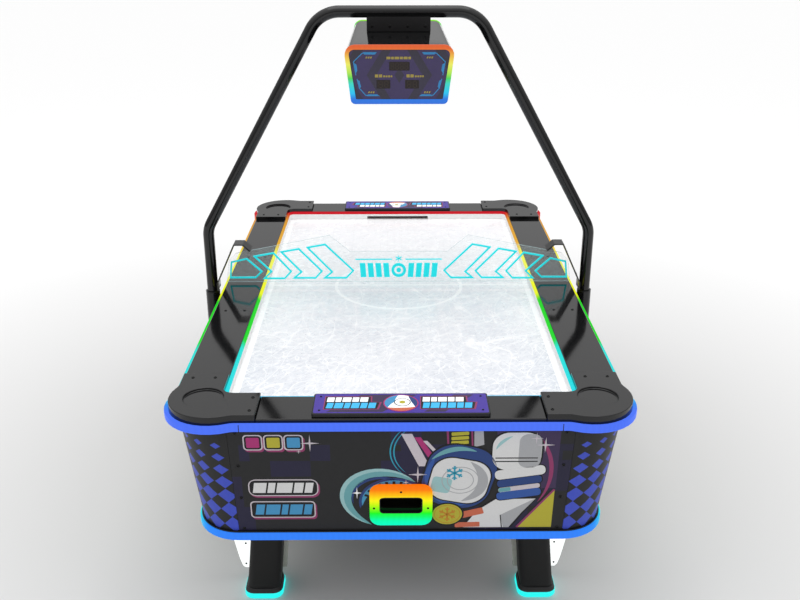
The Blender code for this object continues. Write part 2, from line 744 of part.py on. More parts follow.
def web_loop(sx, z):
    """The plate on the cabinet's leaning side and the web from it to the post, at a height."""
    near = cabinet_size(z)[0] + GAP
    far = near + FLANGE_T
    points = [(near, -FLANGE_HALF), (far, -FLANGE_HALF), (far, -WEB_HALF), (POST_X, -WEB_HALF),
              (POST_X, WEB_HALF), (far, WEB_HALF), (far, FLANGE_HALF), (near, FLANGE_HALF)]
    return [(sx * x, y, z) for x, y in points]


def build_sleeves(mats):
    for side, sx in SIDES:
        centre = (sx * POST_X, 0.0)
        sleeve = prism(f"post_sleeve_{side}", circle(SLEEVE_R, 20, centre), *SLEEVE_Z, mats["gloss_black"])
        loops = [web_loop(sx, z) for z in (SLEEVE_Z[0] + 0.002, WEB_TOP)]
        combine(sleeve, loft(f"{side}_web_tool", loops, None), "UNION")
        bore = prism(f"{side}_bore_cutter", circle(TUBE_R + BORE_CLEAR, 24, centre),
                     ARCH_FOOT_Z - GAP, SLEEVE_Z[1] + CUT, None)
        combine(sleeve, bore, "DIFFERENCE")


def score_outline(inset, corner_top=0.030, corner_low=0.014):
    """Trapezoid with rounded corners, wider at the top."""
    low, high = SCORE_Z[0] + inset, SCORE_Z[1] - inset
    top = SCORE_TOP_HALF - inset
    bottom = SCORE_BOTTOM_HALF - inset
    lean = atan2(SCORE_TOP_HALF - SCORE_BOTTOM_HALF, SCORE_Z[1] - SCORE_Z[0])
    r_top = max(corner_top - inset, 0.004)
    r_low = max(corner_low - inset, 0.004)
    tight = tan(pi / 4 + lean / 2)
    loose = tan(pi / 4 - lean / 2)
    right = arc(bottom - r_low * loose, low + r_low, r_low, -pi / 2, -lean, 5)
    right += arc(top - r_top * tight, high - r_top, r_top, -lean, pi / 2, 5)
    return right + [(-x, z) for x, z in reversed(right)]


def build_scoreboard(mats):
    body_half = SCORE_HALF_L - SCORE_BEZEL_T - GAP
    flat_ring("scoreboard_housing", score_outline(SCORE_INSET), score_outline(SCORE_INSET + SCORE_WALL),
              -body_half, body_half, mats["gloss_black"], "Y")
    for end, sy in ENDS:
        outer_face = sy * SCORE_HALF_L
        inner_face = sy * (SCORE_HALF_L - SCORE_BEZEL_T)
        flat_ring(f"scoreboard_bezel_{end}", score_outline(0.0), score_outline(SCORE_BORDER),
                  inner_face, outer_face, mats["light_band"], "Y")
        back = sy * (SCORE_HALF_L - SCORE_FACE[0])
        front = sy * (SCORE_HALF_L - SCORE_FACE[1])
        prism(f"scoreboard_face_{end}", score_outline(SCORE_BORDER + GAP), back, front, mats["indigo_panel"], "Y")

    top = SCORE_Z[1] - SCORE_INSET + GAP
    half_x, half_y = HANGER_HALF
    low = (-half_x, -half_y, top)
    high = (half_x, half_y, ARCH_TOP_Z)
    hanger = box("scoreboard_hanger", low, high, mats["gloss_black"])
    reach = half_x + CUT
    saddle = prism("saddle_cutter", circle(TUBE_R + GAP, 24, (0.0, ARCH_TOP_Z)), -reach, reach, None, "X")
    combine(hanger, saddle, "DIFFERENCE")


# --- Centre divider ---------------------------------------------------------

def build_divider(mats):
    right = [(DIVIDER_FOOT_X, RAIL_TOP + GAP), *DIVIDER_EDGE]
    outline = right + [(-x, z) for x, z in reversed(right)]
    prism("divider_panel", outline, -DIVIDER_HALF_T, DIVIDER_HALF_T, mats["clear_acrylic"], "Y")
    strip = thick_line(BRACKET_LINE, BRACKET_T)
    for side, sx in SIDES:
        points = [(sx * x, z) for x, z in strip]
        prism(f"divider_bracket_{side}", points, -BRACKET_HALF, BRACKET_HALF, mats["gloss_black"], "Y")


def main():
    clear_scene()
    mats = make_materials()
    build_base(mats)
    build_corner_panels(mats)
    build_end_panels(mats)
    build_side_panels(mats)
    build_service_door(mats)
    build_playfield(mats)
    build_wall_trim(mats)
    build_rails(mats)
    build_corner_blocks(mats)
    build_upper_band(mats)
    build_signs(mats)
    build_plenum(mats)
    build_blower(mats)
    build_returns(mats)
    build_legs(mats)
    build_arch(mats)
    build_sleeves(mats)
    build_scoreboard(mats)
    build_divider(mats)


main()
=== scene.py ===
"""Looks of an air hockey table with an overhead score arch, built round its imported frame.

Metres, +Z up. X runs across the table, Y along it, and the floor is z = 0.
"""

import logging
from dataclasses import dataclass, field
from enum import Enum
from math import cos, pi, radians, sin, tan
from typing import Mapping, Sequence, Union

import bmesh
import bpy
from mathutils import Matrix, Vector


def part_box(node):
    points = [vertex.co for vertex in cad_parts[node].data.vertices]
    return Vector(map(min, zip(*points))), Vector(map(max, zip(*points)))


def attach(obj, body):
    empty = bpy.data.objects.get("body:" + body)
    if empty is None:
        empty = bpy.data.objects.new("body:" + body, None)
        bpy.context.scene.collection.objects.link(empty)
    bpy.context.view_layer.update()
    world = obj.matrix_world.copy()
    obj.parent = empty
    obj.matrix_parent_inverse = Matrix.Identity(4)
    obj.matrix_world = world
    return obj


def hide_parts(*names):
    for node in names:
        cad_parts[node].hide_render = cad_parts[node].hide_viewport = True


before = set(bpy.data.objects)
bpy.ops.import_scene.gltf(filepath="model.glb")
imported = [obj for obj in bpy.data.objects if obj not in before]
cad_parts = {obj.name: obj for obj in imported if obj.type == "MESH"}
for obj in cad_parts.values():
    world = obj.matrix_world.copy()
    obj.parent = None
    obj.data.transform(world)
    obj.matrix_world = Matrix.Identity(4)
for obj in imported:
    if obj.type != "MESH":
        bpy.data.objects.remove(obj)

LOG = logging.getLogger("hockey_table")

Colour = tuple[float, float, float]
Triple = tuple[float, float, float]
Point = tuple[float, float]
Outline = Sequence[Point]
Piece = bpy.types.Object
Pieces = list[bpy.types.Object]
Solid = bmesh.types.BMesh
Stops = Sequence[tuple[float, Colour]]

PRINT_LIFT = 0.0002      # thickness of the lowest print layer above its panel
PRINT_STEP = 0.00012     # how much higher each further layer stands


class TableFace(Enum):
    """A face of the table, with the sign of the axis that it looks along."""

    @property
    def label(self) -> str:
        """The word used in node names."""
        return self.name.lower()


class End(TableFace):
    """The two short ends of the table, with the sign of their Y."""

    FRONT = -1
    REAR = 1


class Side(TableFace):
    """The two long sides of the table, with the sign of their X."""

    LEFT = -1
    RIGHT = 1


CORNERS = tuple((end, side) for end in End for side in Side)


@dataclass(frozen=True)
class TableSizes:
    """Dimensions that several sub-assemblies share, the same as in the frame."""

    rail_top: float = 0.800
    pad_top: float = 0.813
    play_top: float = 0.765
    half_length: float = 1.059
    cabinet_half_width: float = 0.5925
    cabinet_half_length: float = 0.998
    cabinet_corner: float = 0.1225
    flare: float = 0.0475
    corner_flare: float = 0.0395
    panel_low: float = 0.4023
    panel_high: float = 0.765
    band_height: tuple[float, float] = (0.767, 0.790)
    gap: float = 0.0003

    @property
    def lean(self) -> float:
        """How far the panels lean outwards for each metre up."""
        return self.flare / (self.panel_high - self.panel_low)


SIZES = TableSizes()


def screen(red: int, green: int, blue: int) -> Colour:
    """A linear colour from its three screen values, each from 0 to 255."""
    shares = [value / 255 for value in (red, green, blue)]
    return tuple(s / 12.92 if s <= 0.04045 else ((s + 0.055) / 1.055) ** 2.4 for s in shares)


# Node graphs

class Wire:
    """A node's output socket, with operators that add Math nodes."""

    def __init__(self, graph: "NodeGraph", socket: bpy.types.NodeSocket) -> None:
        """Keeps the graph and the socket."""
        self.graph = graph
        self.socket = socket

    def maths(self, operation: str, *values: "Value") -> "Wire":
        """A Math node that takes this wire first."""
        return self.graph.maths(operation, self, *values)

    def __add__(self, other: "Value") -> "Wire":
        """This plus other."""
        return self.maths("ADD", other)

    __radd__ = __add__

    def __sub__(self, other: "Value") -> "Wire":
        """This less other."""
        return self.maths("SUBTRACT", other)

    def __rsub__(self, other: "Value") -> "Wire":
        """Other less this."""
        return self.graph.maths("SUBTRACT", other, self)

    def __mul__(self, other: "Value") -> "Wire":
        """This times other."""
        return self.maths("MULTIPLY", other)

    __rmul__ = __mul__

    def __truediv__(self, other: "Value") -> "Wire":
        """This divided by other."""
        return self.maths("DIVIDE", other)

    def __rtruediv__(self, other: "Value") -> "Wire":
        """Other divided by this."""
        return self.graph.maths("DIVIDE", other, self)

    def __mod__(self, other: "Value") -> "Wire":
        """What is left of this after whole steps of other."""
        return self.maths("FLOORED_MODULO", other)

    def __lt__(self, other: "Value") -> "Wire":
        """One where this is less than other, and zero elsewhere."""
        return self.maths("LESS_THAN", other)

    def __gt__(self, other: "Value") -> "Wire":
        """One where this is more than other, and zero elsewhere."""
        return self.maths("GREATER_THAN", other)

    def __abs__(self) -> "Wire":
        """This without its sign."""
        return self.maths("ABSOLUTE")

    def at_most(self, other: "Value") -> "Wire":
        """The smaller of the two."""
        return self.maths("MINIMUM", other)

    def at_least(self, other: "Value") -> "Wire":
        """The larger of the two."""
        return self.maths("MAXIMUM", other)

    def clamped(self) -> "Wire":
        """This kept between 0 and 1."""
        return self.at_least(0.0).at_most(1.0)


Value = Union[Wire, float]


class NodeGraph:
    """A node tree that is written as Python expressions."""

    math_kind = "ShaderNodeMath"

    def __init__(self, tree: bpy.types.NodeTree) -> None:
        """Keeps the tree that the nodes are added to."""
        self.tree = tree

    def feed(self, socket: bpy.types.NodeSocket, value: object) -> None:
        """Links a wire to an input socket, or sets the socket's own value.

        Args:
            socket: The input socket.
            value: A wire, a number, a vector or a colour.
        """
        if isinstance(value, Wire):
            self.tree.links.new(value.socket, socket)
        elif socket.type == "RGBA" and len(value) == 3:
            socket.default_value = (*value, 1.0)
        else:
            socket.default_value = value

    def node(
        self, kind: str, settings: Mapping[str, object], inputs: Mapping[object, object],
    ) -> bpy.types.Node:
        """Adds a node of any type.

        Args:
            kind: The node's type.
            settings: Its properties, set first; "stops" fills a colour ramp.
            inputs: Values or wires for its sockets, by name or index.

        Returns:
            The new node.
        """
        node = self.tree.nodes.new(kind)
        for name, setting in settings.items():
            if name == "stops":
                self._fill_ramp(node.color_ramp, setting)
            else:
                setattr(node, name, setting)
        for key, value in inputs.items():
            self.feed(node.inputs[key], value)
        return node

    def wire(
        self,
        kind: str,
        settings: Mapping[str, object],
        inputs: Mapping[object, object],
        output: object = 0,
    ) -> Wire:
        """Adds a node and gives one of its outputs as a wire."""
        return Wire(self, self.node(kind, settings, inputs).outputs[output])

    def maths(self, operation: str, *values: Value) -> Wire:
        """Adds a Math node for one operation on one, two or three values."""
        return self.wire(self.math_kind, {"operation": operation}, dict(enumerate(values)))

    @staticmethod
    def _fill_ramp(ramp: bpy.types.ColorRamp, stops: Stops) -> None:
        """Sets a ramp's stops.

        Args:
            ramp: The ramp of a new colour ramp node.
            stops: Places from 0 to 1, in order, each with its colour.
        """
        while len(ramp.elements) < len(stops):
            ramp.elements.new(1.0)
        for element, (place, colour) in zip(ramp.elements, stops):
            element.position = place
            element.color = (*colour, 1.0)


class ShaderGraph(NodeGraph):
    """A material's node tree, which starts empty."""

    def __init__(self, name: str) -> None:
        """Makes the material and its output node."""
        self.material = bpy.data.materials.new(name)
        self.material.use_nodes = True
        super().__init__(self.material.node_tree)
        self.tree.nodes.clear()
        self.place = self.wire("ShaderNodeTexCoord", {}, {}, "Object")
        split = self.node("ShaderNodeSeparateXYZ", {}, {0: self.place})
        self.x, self.y, self.z = (Wire(self, socket) for socket in split.outputs)

    def ramp(self, factor: Value, stops: Stops, blend: str = "LINEAR") -> Wire:
        """A colour from stops along a factor, LINEAR or EASE between them."""
        node = self.node("ShaderNodeValToRGB", {"stops": stops}, {0: factor})
        node.color_ramp.interpolation = blend
        return Wire(self, node.outputs[0])

    def along(self, value: Wire, low: float, high: float, stops: Stops) -> Wire:
        """A colour ramp whose stops are given in metres along a coordinate."""
        shares = [((place - low) / (high - low), colour) for place, colour in stops]
        return self.ramp((value - low) / (high - low), shares)

    def turned(self, scale: Sequence[float], degrees: float = 0.0) -> Wire:
        """The object's coordinates turned about Z, then stretched."""
        turn = self.wire("ShaderNodeMapping", {}, {
            "Vector": self.place, "Rotation": (0.0, 0.0, radians(degrees)),
        })
        return self.wire("ShaderNodeMapping", {}, {"Vector": turn, "Scale": tuple(scale)})

    def noise(
        self, scale: float, detail: float = 2.0, place: "Wire | None" = None, bend: float = 0.0,
    ) -> Wire:
        """Smooth noise from 0 to 1, with its features a metre over scale apart."""
        inputs = {"Vector": place or self.place, "Scale": scale, "Detail": detail, "Distortion": bend}
        return self.wire("ShaderNodeTexNoise", {}, inputs, 0)

    def mix(self, factor: Value, first: object, second: object, blend: str = "MIX") -> Wire:
        """One colour where factor is 0 and the other where it is 1."""
        settings = {"data_type": "RGBA", "blend_type": blend}
        return self.wire("ShaderNodeMix", settings, {0: factor, 6: first, 7: second}, 2)

    def mottled(self, colour: object, scale: float, amount: float) -> Wire:
        """A colour that is a little lighter and darker from place to place.

        Args:
            colour: The even colour, or a wire of it.
            scale: How fine the mottling is.
            amount: How much of the brightness varies.

        Returns:
            The mottled colour.
        """
        share = 1.0 + (self.noise(scale, 4.0) - 0.5) * (2.0 * amount)
        grey = self.wire("ShaderNodeCombineXYZ", {}, {0: share, 1: share, 2: share})
        return self.mix(1.0, colour, grey, "MULTIPLY")

    def bump(self, height: Wire, depth: float, strength: float = 1.0) -> Wire:
        """A surface normal shaken by a height from 0 to 1, depth metres deep."""
        inputs = {"Height": height, "Distance": depth, "Strength": strength}
        return self.wire("ShaderNodeBump", {}, inputs)

    def surface(self, inputs: Mapping[object, object]) -> None:
        """Ends the tree in a Principled shader with these inputs."""
        shader = self.wire("ShaderNodeBsdfPrincipled", {}, inputs)
        self.node("ShaderNodeOutputMaterial", {}, {"Surface": shader})


class GeometryGraph(NodeGraph):
    """A geometry node tree with named inputs, whose result is kept as a plain mesh."""

    def __init__(self, name: str, inputs: Mapping[str, str]) -> None:
        """Makes the tree and its inputs.

        Args:
            name: The tree's name.
            inputs: Each input's name and socket type, besides the geometry.
        """
        super().__init__(bpy.data.node_groups.new(name, "GeometryNodeTree"))
        sockets = {"Geometry": "NodeSocketGeometry", **inputs, "Finish": "NodeSocketMaterial"}
        for label, kind in sockets.items():
            self.tree.interface.new_socket(label, in_out="INPUT", socket_type=kind)
        self.tree.interface.new_socket("Geometry", in_out="OUTPUT", socket_type="NodeSocketGeometry")
        self.entry = self.tree.nodes.new("NodeGroupInput")

    def given(self, label: str) -> Wire:
        """One of the tree's own inputs."""
        return Wire(self, self.entry.outputs[label])

    def close(self, geometry: Wire) -> None:
        """Ends the tree: real geometry, with its finish set."""
        real = self.wire("GeometryNodeRealizeInstances", {}, {0: geometry})
        dressed = self.wire(
            "GeometryNodeSetMaterial", {}, {"Geometry": real, "Material": self.given("Finish")},
        )
        self.node("NodeGroupOutput", {}, {0: dressed})

    def grow(self, name: str, seed_mesh: bpy.types.Mesh, values: Mapping[str, object]) -> bpy.types.Mesh:
        """Runs the tree once on a mesh.

        Args:
            name: The new mesh's name.
            seed_mesh: The points or path that the tree works on.
            values: A value for each named input.

        Returns:
            The plain mesh that comes out, with its faces outwards.
        """
        carrier = bpy.data.objects.new(name, seed_mesh)
        bpy.context.scene.collection.objects.link(carrier)
        modifier = carrier.modifiers.new("grow", "NODES")
        modifier.node_group = self.tree
        for item in self.tree.interface.items_tree:
            if item.in_out == "INPUT" and item.name in values:
                modifier[item.identifier] = values[item.name]
        graph = bpy.context.evaluated_depsgraph_get()
        mesh = bpy.data.meshes.new_from_object(carrier.evaluated_get(graph))
        bpy.data.objects.remove(carrier)
        mesh.name = name
        solid = bmesh.new()
        solid.from_mesh(mesh)
        bmesh.ops.recalc_face_normals(solid, faces=solid.faces)
        solid.to_mesh(mesh)
        solid.free()
        return mesh


# Finishes

@dataclass(frozen=True)
class Finish:
    """A surface finish. Each kind draws its own shader."""

    name: str

    def draw(self, graph: ShaderGraph) -> None:
        """Adds the finish's nodes."""
        raise NotImplementedError

    def material(self) -> bpy.types.Material:
        """The finish's material, made the first time and shared after that."""
        label = f"{self.name}_finish"
        known = bpy.data.materials.get(label)
        if known is not None:
            return known
        graph = ShaderGraph(label)
        self.draw(graph)
        return graph.material


@dataclass(frozen=True)
class Lacquer(Finish):
    """Polished black lacquer with faint handling haze."""

    colour: Colour = (0.004, 0.004, 0.0045)
    roughness: float = 0.06

    def draw(self, graph: ShaderGraph) -> None:
        """Haze in the gloss, and a very shallow orange peel."""
        haze = graph.noise(9.0, 5.0) * graph.noise(34.0, 3.0)
        graph.surface({
            "Base Color": graph.mottled(self.colour, 14.0, 0.15),
            "Roughness": self.roughness + haze * 0.10,
            "IOR": 1.46,
            "Normal": graph.bump(graph.noise(240.0, 1.0), 0.00002),
        })


@dataclass(frozen=True)
class Moulding(Finish):
    """Satin plastic, laminate or powder coat with a fine grain."""

    colour: Colour = (0.02, 0.02, 0.02)
    roughness: float = 0.45
    gloss: float = 0.35
    grain: float = 900.0
    depth: float = 0.00006

    def draw(self, graph: ShaderGraph) -> None:
        """Grain in the normal, and soft changes of tone and gloss."""
        graph.surface({
            "Base Color": graph.mottled(self.colour, 22.0, 0.14),
            "Roughness": self.roughness + (graph.noise(18.0, 4.0) - 0.5) * 0.16,
            "Specular IOR Level": self.gloss,
            "Normal": graph.bump(graph.noise(self.grain, 2.0), self.depth),
        })


@dataclass(frozen=True)
class Metal(Finish):
    """Plated or bare metal with fine marks."""

    colour: Colour = (0.56, 0.57, 0.58)
    roughness: float = 0.34

    def draw(self, graph: ShaderGraph) -> None:
        """Drawn marks along Z and cloudy plating."""
        marks = graph.noise(60.0, 3.0, graph.turned((9.0, 9.0, 0.6)))
        graph.surface({
            "Base Color": graph.mottled(self.colour, 40.0, 0.12),
            "Metallic": 1.0,
            "Roughness": self.roughness + (marks - 0.5) * 0.22,
            "Normal": graph.bump(marks, 0.00004),
        })


@dataclass(frozen=True)
class Board(Finish):
    """Raw fibre board, seen only inside the cabinet."""

    colour: Colour = (0.36, 0.25, 0.15)

    def draw(self, graph: ShaderGraph) -> None:
        """Pressed fibres of two sizes."""
        fibre = graph.noise(150.0, 5.0, graph.turned((1.0, 0.3, 1.0), 12.0))
        graph.surface({
            "Base Color": graph.mix(fibre, [0.6 * c for c in self.colour], [1.3 * c for c in self.colour]),
            "Roughness": 0.62 + fibre * 0.2,
            "Normal": graph.bump(fibre, 0.0002),
        })


@dataclass(frozen=True)
class Glow(Finish):
    """A lit diffuser whose colour changes along the table or up it."""

    stops: Stops = ()
    upright: bool = False
    only_above: float = -1.0
    unlit: Colour = (0.8, 0.8, 0.8)
    pitch: float = 0.0167

    def draw(self, graph: ShaderGraph) -> None:
        """The colours, with a faint ripple from the diodes behind, lit above one height."""
        along = graph.z if self.upright else graph.y
        low, high = self.stops[0][0], self.stops[-1][0]
        colour = graph.along(along, low, high, self.stops)
        across = graph.x + graph.y
        ripple = 0.985 + ((across * (2 * pi / self.pitch)).maths("SINE")) * 0.015
        share = ripple if self.only_above < 0 else ripple * (graph.z > self.only_above)
        level = graph.wire("ShaderNodeCombineXYZ", {}, {0: share, 1: share, 2: share})
        light = graph.mix(1.0, colour, level, "MULTIPLY")
        body = (0.004, 0.004, 0.004) if self.only_above < 0 else self.unlit
        base = graph.mottled(body, 30.0, 0.06)
        if self.only_above >= 0:
            base = graph.mix(graph.z > self.only_above, base, (0.004, 0.004, 0.004))
        graph.surface({
            "Base Color": base,
            "Roughness": 0.35 + graph.noise(25.0, 3.0) * 0.1,
            "Specular IOR Level": 0.05,
            "Emission Color": light,
            "Emission Strength": 1.0,
        })


@dataclass(frozen=True)
class Ink(Finish):
    """A printed colour under a satin film; with lit above zero, the ink also glows."""

    colour: Colour = (0.5, 0.5, 0.5)
    lit: float = 0.0

    def draw(self, graph: ShaderGraph) -> None:
        """Fine print grain and a slightly uneven film."""
        tone = graph.mottled(self.colour, 420.0, 0.10)
        inputs = {
            "Base Color": tone,
            "Roughness": 0.38 + (graph.noise(30.0, 3.0) - 0.5) * 0.14,
            "Specular IOR Level": 0.2,
            "Normal": graph.bump(graph.noise(900.0, 2.0), 0.00003),
        }
        # Glow on an ink: on plain print, as with ink_bright and ink_cyan, this is painted light that no
        # lamp gives.
        if self.lit > 0:
            inputs.update({"Emission Color": tone, "Emission Strength": self.lit})
        graph.surface(inputs)


def laminate(graph: ShaderGraph, base: Wire) -> None:
    """Ends a tree in a printed satin laminate with a fine grain."""
    graph.surface({
        "Base Color": graph.mottled(base, 60.0, 0.10),
        "Roughness": 0.42 + (graph.noise(18.0, 4.0) - 0.5) * 0.14,
        "Specular IOR Level": 0.2,
        "Normal": graph.bump(graph.noise(900.0, 2.0), 0.00005),
    })


@dataclass(frozen=True)
class PanelLaminate(Finish):
    """Charcoal laminate with faint indigo blocks printed in it."""

    colour: Colour = screen(38, 38, 39)
    block: Colour = screen(40, 37, 66)
    step: Triple = (0.028, 0.028, 0.055)

    def draw(self, graph: ShaderGraph) -> None:
        """Blocks on a coarse grid, under a fine grain."""
        cells = graph.wire("ShaderNodeVectorMath", {"operation": "SNAP"}, {0: graph.place, 1: self.step})
        mask = graph.noise(5.2, 1.0, cells) > 0.53
        faint = mask * (0.45 + graph.noise(3.0, 1.0) * 0.6)
        base = graph.mix(faint, self.colour, self.block)
        laminate(graph, base)


@dataclass(frozen=True)
class DiamondLaminate(Finish):
    """Charcoal laminate with blue diamonds that grow towards the floor."""

    colour: Colour = screen(38, 38, 38)
    diamond: Colour = screen(64, 80, 188)
    column: float = 0.0575
    first_row: float = 0.4290
    row: float = 0.0565
    closing: float = 0.0016
    shrink: Point = (1.32, 0.13)

    def draw(self, graph: ShaderGraph) -> None:
        """A diamond grid on the arc length from the corner's middle and on the height."""
        share = (graph.z - SIZES.panel_low) * (1.0 / (SIZES.panel_high - SIZES.panel_low))
        radius = SIZES.cabinet_corner + share * SIZES.corner_flare
        drift = share * (SIZES.flare - SIZES.corner_flare)
        seam_x = SIZES.cabinet_half_width - SIZES.cabinet_corner + drift
        seam_y = SIZES.cabinet_half_length - SIZES.cabinet_corner + drift
        angle = graph.maths("ARCTAN2", abs(graph.x) - seam_x, abs(graph.y) - seam_y)
        column = (angle - pi / 4) * radius / self.column
        across = abs(column % 1.0 - 0.5) * 2.0
        root = (self.row ** 2 - (graph.z - self.first_row) * (4 * self.closing)).at_least(0.0).maths("SQRT")
        level = (self.row - root) / (2 * self.closing)
        rows = (level + 0.5).maths("FLOOR")
        down = abs(level - rows) * 2.0
        size = (self.shrink[0] - rows * self.shrink[1]).at_most(1.0)
        mask = (across + down < size) * (rows < 6.5) * (rows > -0.5)
        base = graph.mix(mask, self.colour, self.diamond)
        laminate(graph, base)


@dataclass(frozen=True)
class IceSheet(Finish):
    """The white playing surface, printed like skated ice with white field lines."""

    white: Colour = screen(247, 247, 248)
    shade: Colour = screen(184, 190, 202)
    border: Point = (0.474, 0.868)
    circle: float = 0.236
    centre_y: float = 0.055
    line: float = 0.006

    def draw(self, graph: ShaderGraph) -> None:
        """Fine white skate cuts over a speckled cool shade that fades towards the far end."""
        cuts = 0.0
        plan = (
            (8.0, 20.0, 0.30, 0.008), (11.0, 75.0, 0.24, 0.008), (14.0, 128.0, 0.28, 0.009),
            (18.0, 164.0, 0.22, 0.010), (24.0, 48.0, 0.34, 0.012), (32.0, 100.0, 0.40, 0.013),
        )
        for scale, degrees, stretch, width in plan:
            wave = graph.noise(scale, 1.0, graph.turned((1.0, stretch, 1.0), degrees), 0.4)
            thin = (1.0 - abs(wave - 0.5) / width).clamped()
            cuts = thin if isinstance(cuts, float) else cuts.at_least(thin)
        speckle = (graph.noise(95.0, 4.0, graph.turned((1.0, 0.35, 1.0), 35.0), 0.8) * 2.4 - 0.55).clamped()
        cloud = (graph.noise(3.0, 3.0) * 1.6 - 0.15).clamped()
        fade = (0.86 - (graph.y + 0.85) * 0.30).clamped().at_least(0.26)
        frost = ((0.42 + speckle * 0.58) * (0.40 + cloud * 0.60) * (1.0 - cuts * 0.85)).clamped() * fade
        along = graph.y - self.centre_y
        reach = (graph.x * graph.x + along * along).maths("SQRT")
        ring = abs(reach - self.circle) < self.line
        middle = abs(along) < self.line
        inside = (abs(graph.x) < self.border[0]) * (abs(graph.y) < self.border[1])
        tone = frost * inside * (1.0 - ring.at_least(middle))
        graph.surface({
            "Base Color": graph.mix(tone, self.white, self.shade),
            "Roughness": 0.20 + graph.noise(14.0, 4.0) * 0.14,
            "Normal": graph.bump(cuts, 0.00003),
        })


@dataclass(frozen=True)
class ChuteLining(Finish):
    """Black at the puck return, and white up at the goal slot."""

    change: float = 0.690
    low: Colour = (0.006, 0.006, 0.007)
    high: Colour = (0.80, 0.80, 0.82)

    def draw(self, graph: ShaderGraph) -> None:
        """Two tones that meet at one height."""
        tone = graph.mix(graph.z > self.change, self.low, self.high)
        graph.surface({
            "Base Color": graph.mottled(tone, 30.0, 0.08),
            "Roughness": 0.45 + graph.noise(20.0, 3.0) * 0.1,
            "Normal": graph.bump(graph.noise(900.0, 2.0), 0.00004),
        })


@dataclass(frozen=True)
class FootGlow(Finish):
    """A glowing ring round the foot, under a black boot."""

    step: float = 0.0205
    glow: Colour = screen(26, 249, 244)

    def draw(self, graph: ShaderGraph) -> None:
        """Lit below the step, and black above it."""
        lit = graph.z < self.step
        graph.surface({
            "Base Color": graph.mottled((0.012, 0.012, 0.013), 30.0, 0.2),
            "Roughness": 0.38 + graph.noise(40.0, 3.0) * 0.12,
            "Emission Color": graph.mix(lit, (0.0, 0.0, 0.0), self.glow),
            "Emission Strength": 1.0,
        })


@dataclass(frozen=True)
class FinAcrylic(Finish):
    """White acrylic that glows on its outer part with its own light; its inner strip is left unlit as
    painted shade.
    """

    # inner and outer: where the glow starts and where it is full; the dark strip inside inner is painted
    # shade.
    inner: float = 0.435
    outer: float = 0.475

    def draw(self, graph: ShaderGraph) -> None:
        """The glow grows from the leg's middle outwards: it is the fin's own light, and leaving the inner
        strip dark paints the shade that falls on it under the table.
        """
        share = ((abs(graph.x) - self.inner) / (self.outer - self.inner)).clamped()
        graph.surface({
            "Base Color": graph.mottled(screen(196, 198, 186), 26.0, 0.05),
            "Roughness": 0.22 + graph.noise(20.0, 3.0) * 0.1,
            "Emission Color": graph.mix(share, (0.02, 0.02, 0.02), (0.9, 0.93, 0.94)),
            "Emission Strength": 1.0,
        })


@dataclass(frozen=True)
class ClearPane(Finish):
    """Clear acrylic: nearly nothing on its faces, or a pale line along its edges."""

    cover: float = 0.07
    colour: Colour = (0.80, 0.97, 0.98)

    def draw(self, graph: ShaderGraph) -> None:
        """Faint dust in how much the pane covers."""
        graph.surface({
            "Base Color": graph.mottled(self.colour, 30.0, 0.05),
            "Roughness": 0.05 + graph.noise(12.0, 4.0) * 0.06,
            "IOR": 1.49,
            "Alpha": self.cover * (0.7 + graph.noise(10.0, 4.0) * 0.6),
        })


@dataclass(frozen=True)
class ScoreGlass(Finish):
    """Dark indigo display glass with a faint pattern of slanted facets."""

    colour: Colour = screen(50, 38, 84)
    facet: Colour = screen(37, 33, 50)
    pitch: float = 0.085

    def draw(self, graph: ShaderGraph) -> None:
        """Chevron facets that mirror about the middle."""
        slant = abs(graph.x) + abs(graph.z - 1.615) * 0.62
        band = abs(slant % self.pitch - self.pitch / 2) / (self.pitch / 2)
        mask = (band > 0.66) * (0.6 + graph.noise(14.0, 2.0) * 0.6)
        graph.surface({
            "Base Color": graph.mottled(graph.mix(mask.clamped(), self.colour, self.facet), 24.0, 0.16),
            "Roughness": 0.12 + graph.noise(16.0, 4.0) * 0.10,
            "IOR": 1.5,
        })


@dataclass(frozen=True)
class StudioFloor(Finish):
    """Seamless pale studio paper, with a broad painted shadow round the table."""

    # middle is the painted shadow's colour near the table and outside the paper's own colour; the shadow
    # fades out between near and far.
    middle: Colour = (0.62, 0.62, 0.62)
    outside: Colour = (0.86, 0.86, 0.86)
    near: float = 1.2
    far: float = 3.6

    def draw(self, graph: ShaderGraph) -> None:
        """Darker towards the middle of the sheet: a broad painted shadow round the table, standing in for
        its shade on the floor.
        """
        reach = (graph.x * graph.x + graph.y * graph.y).maths("SQRT")
        share = ((reach - self.near) * (1.0 / (self.far - self.near))).clamped()
        graph.surface({
            "Base Color": graph.mix(share, self.middle, self.outside),
            "Roughness": 0.9,
            "Specular IOR Level": 0.1,
        })


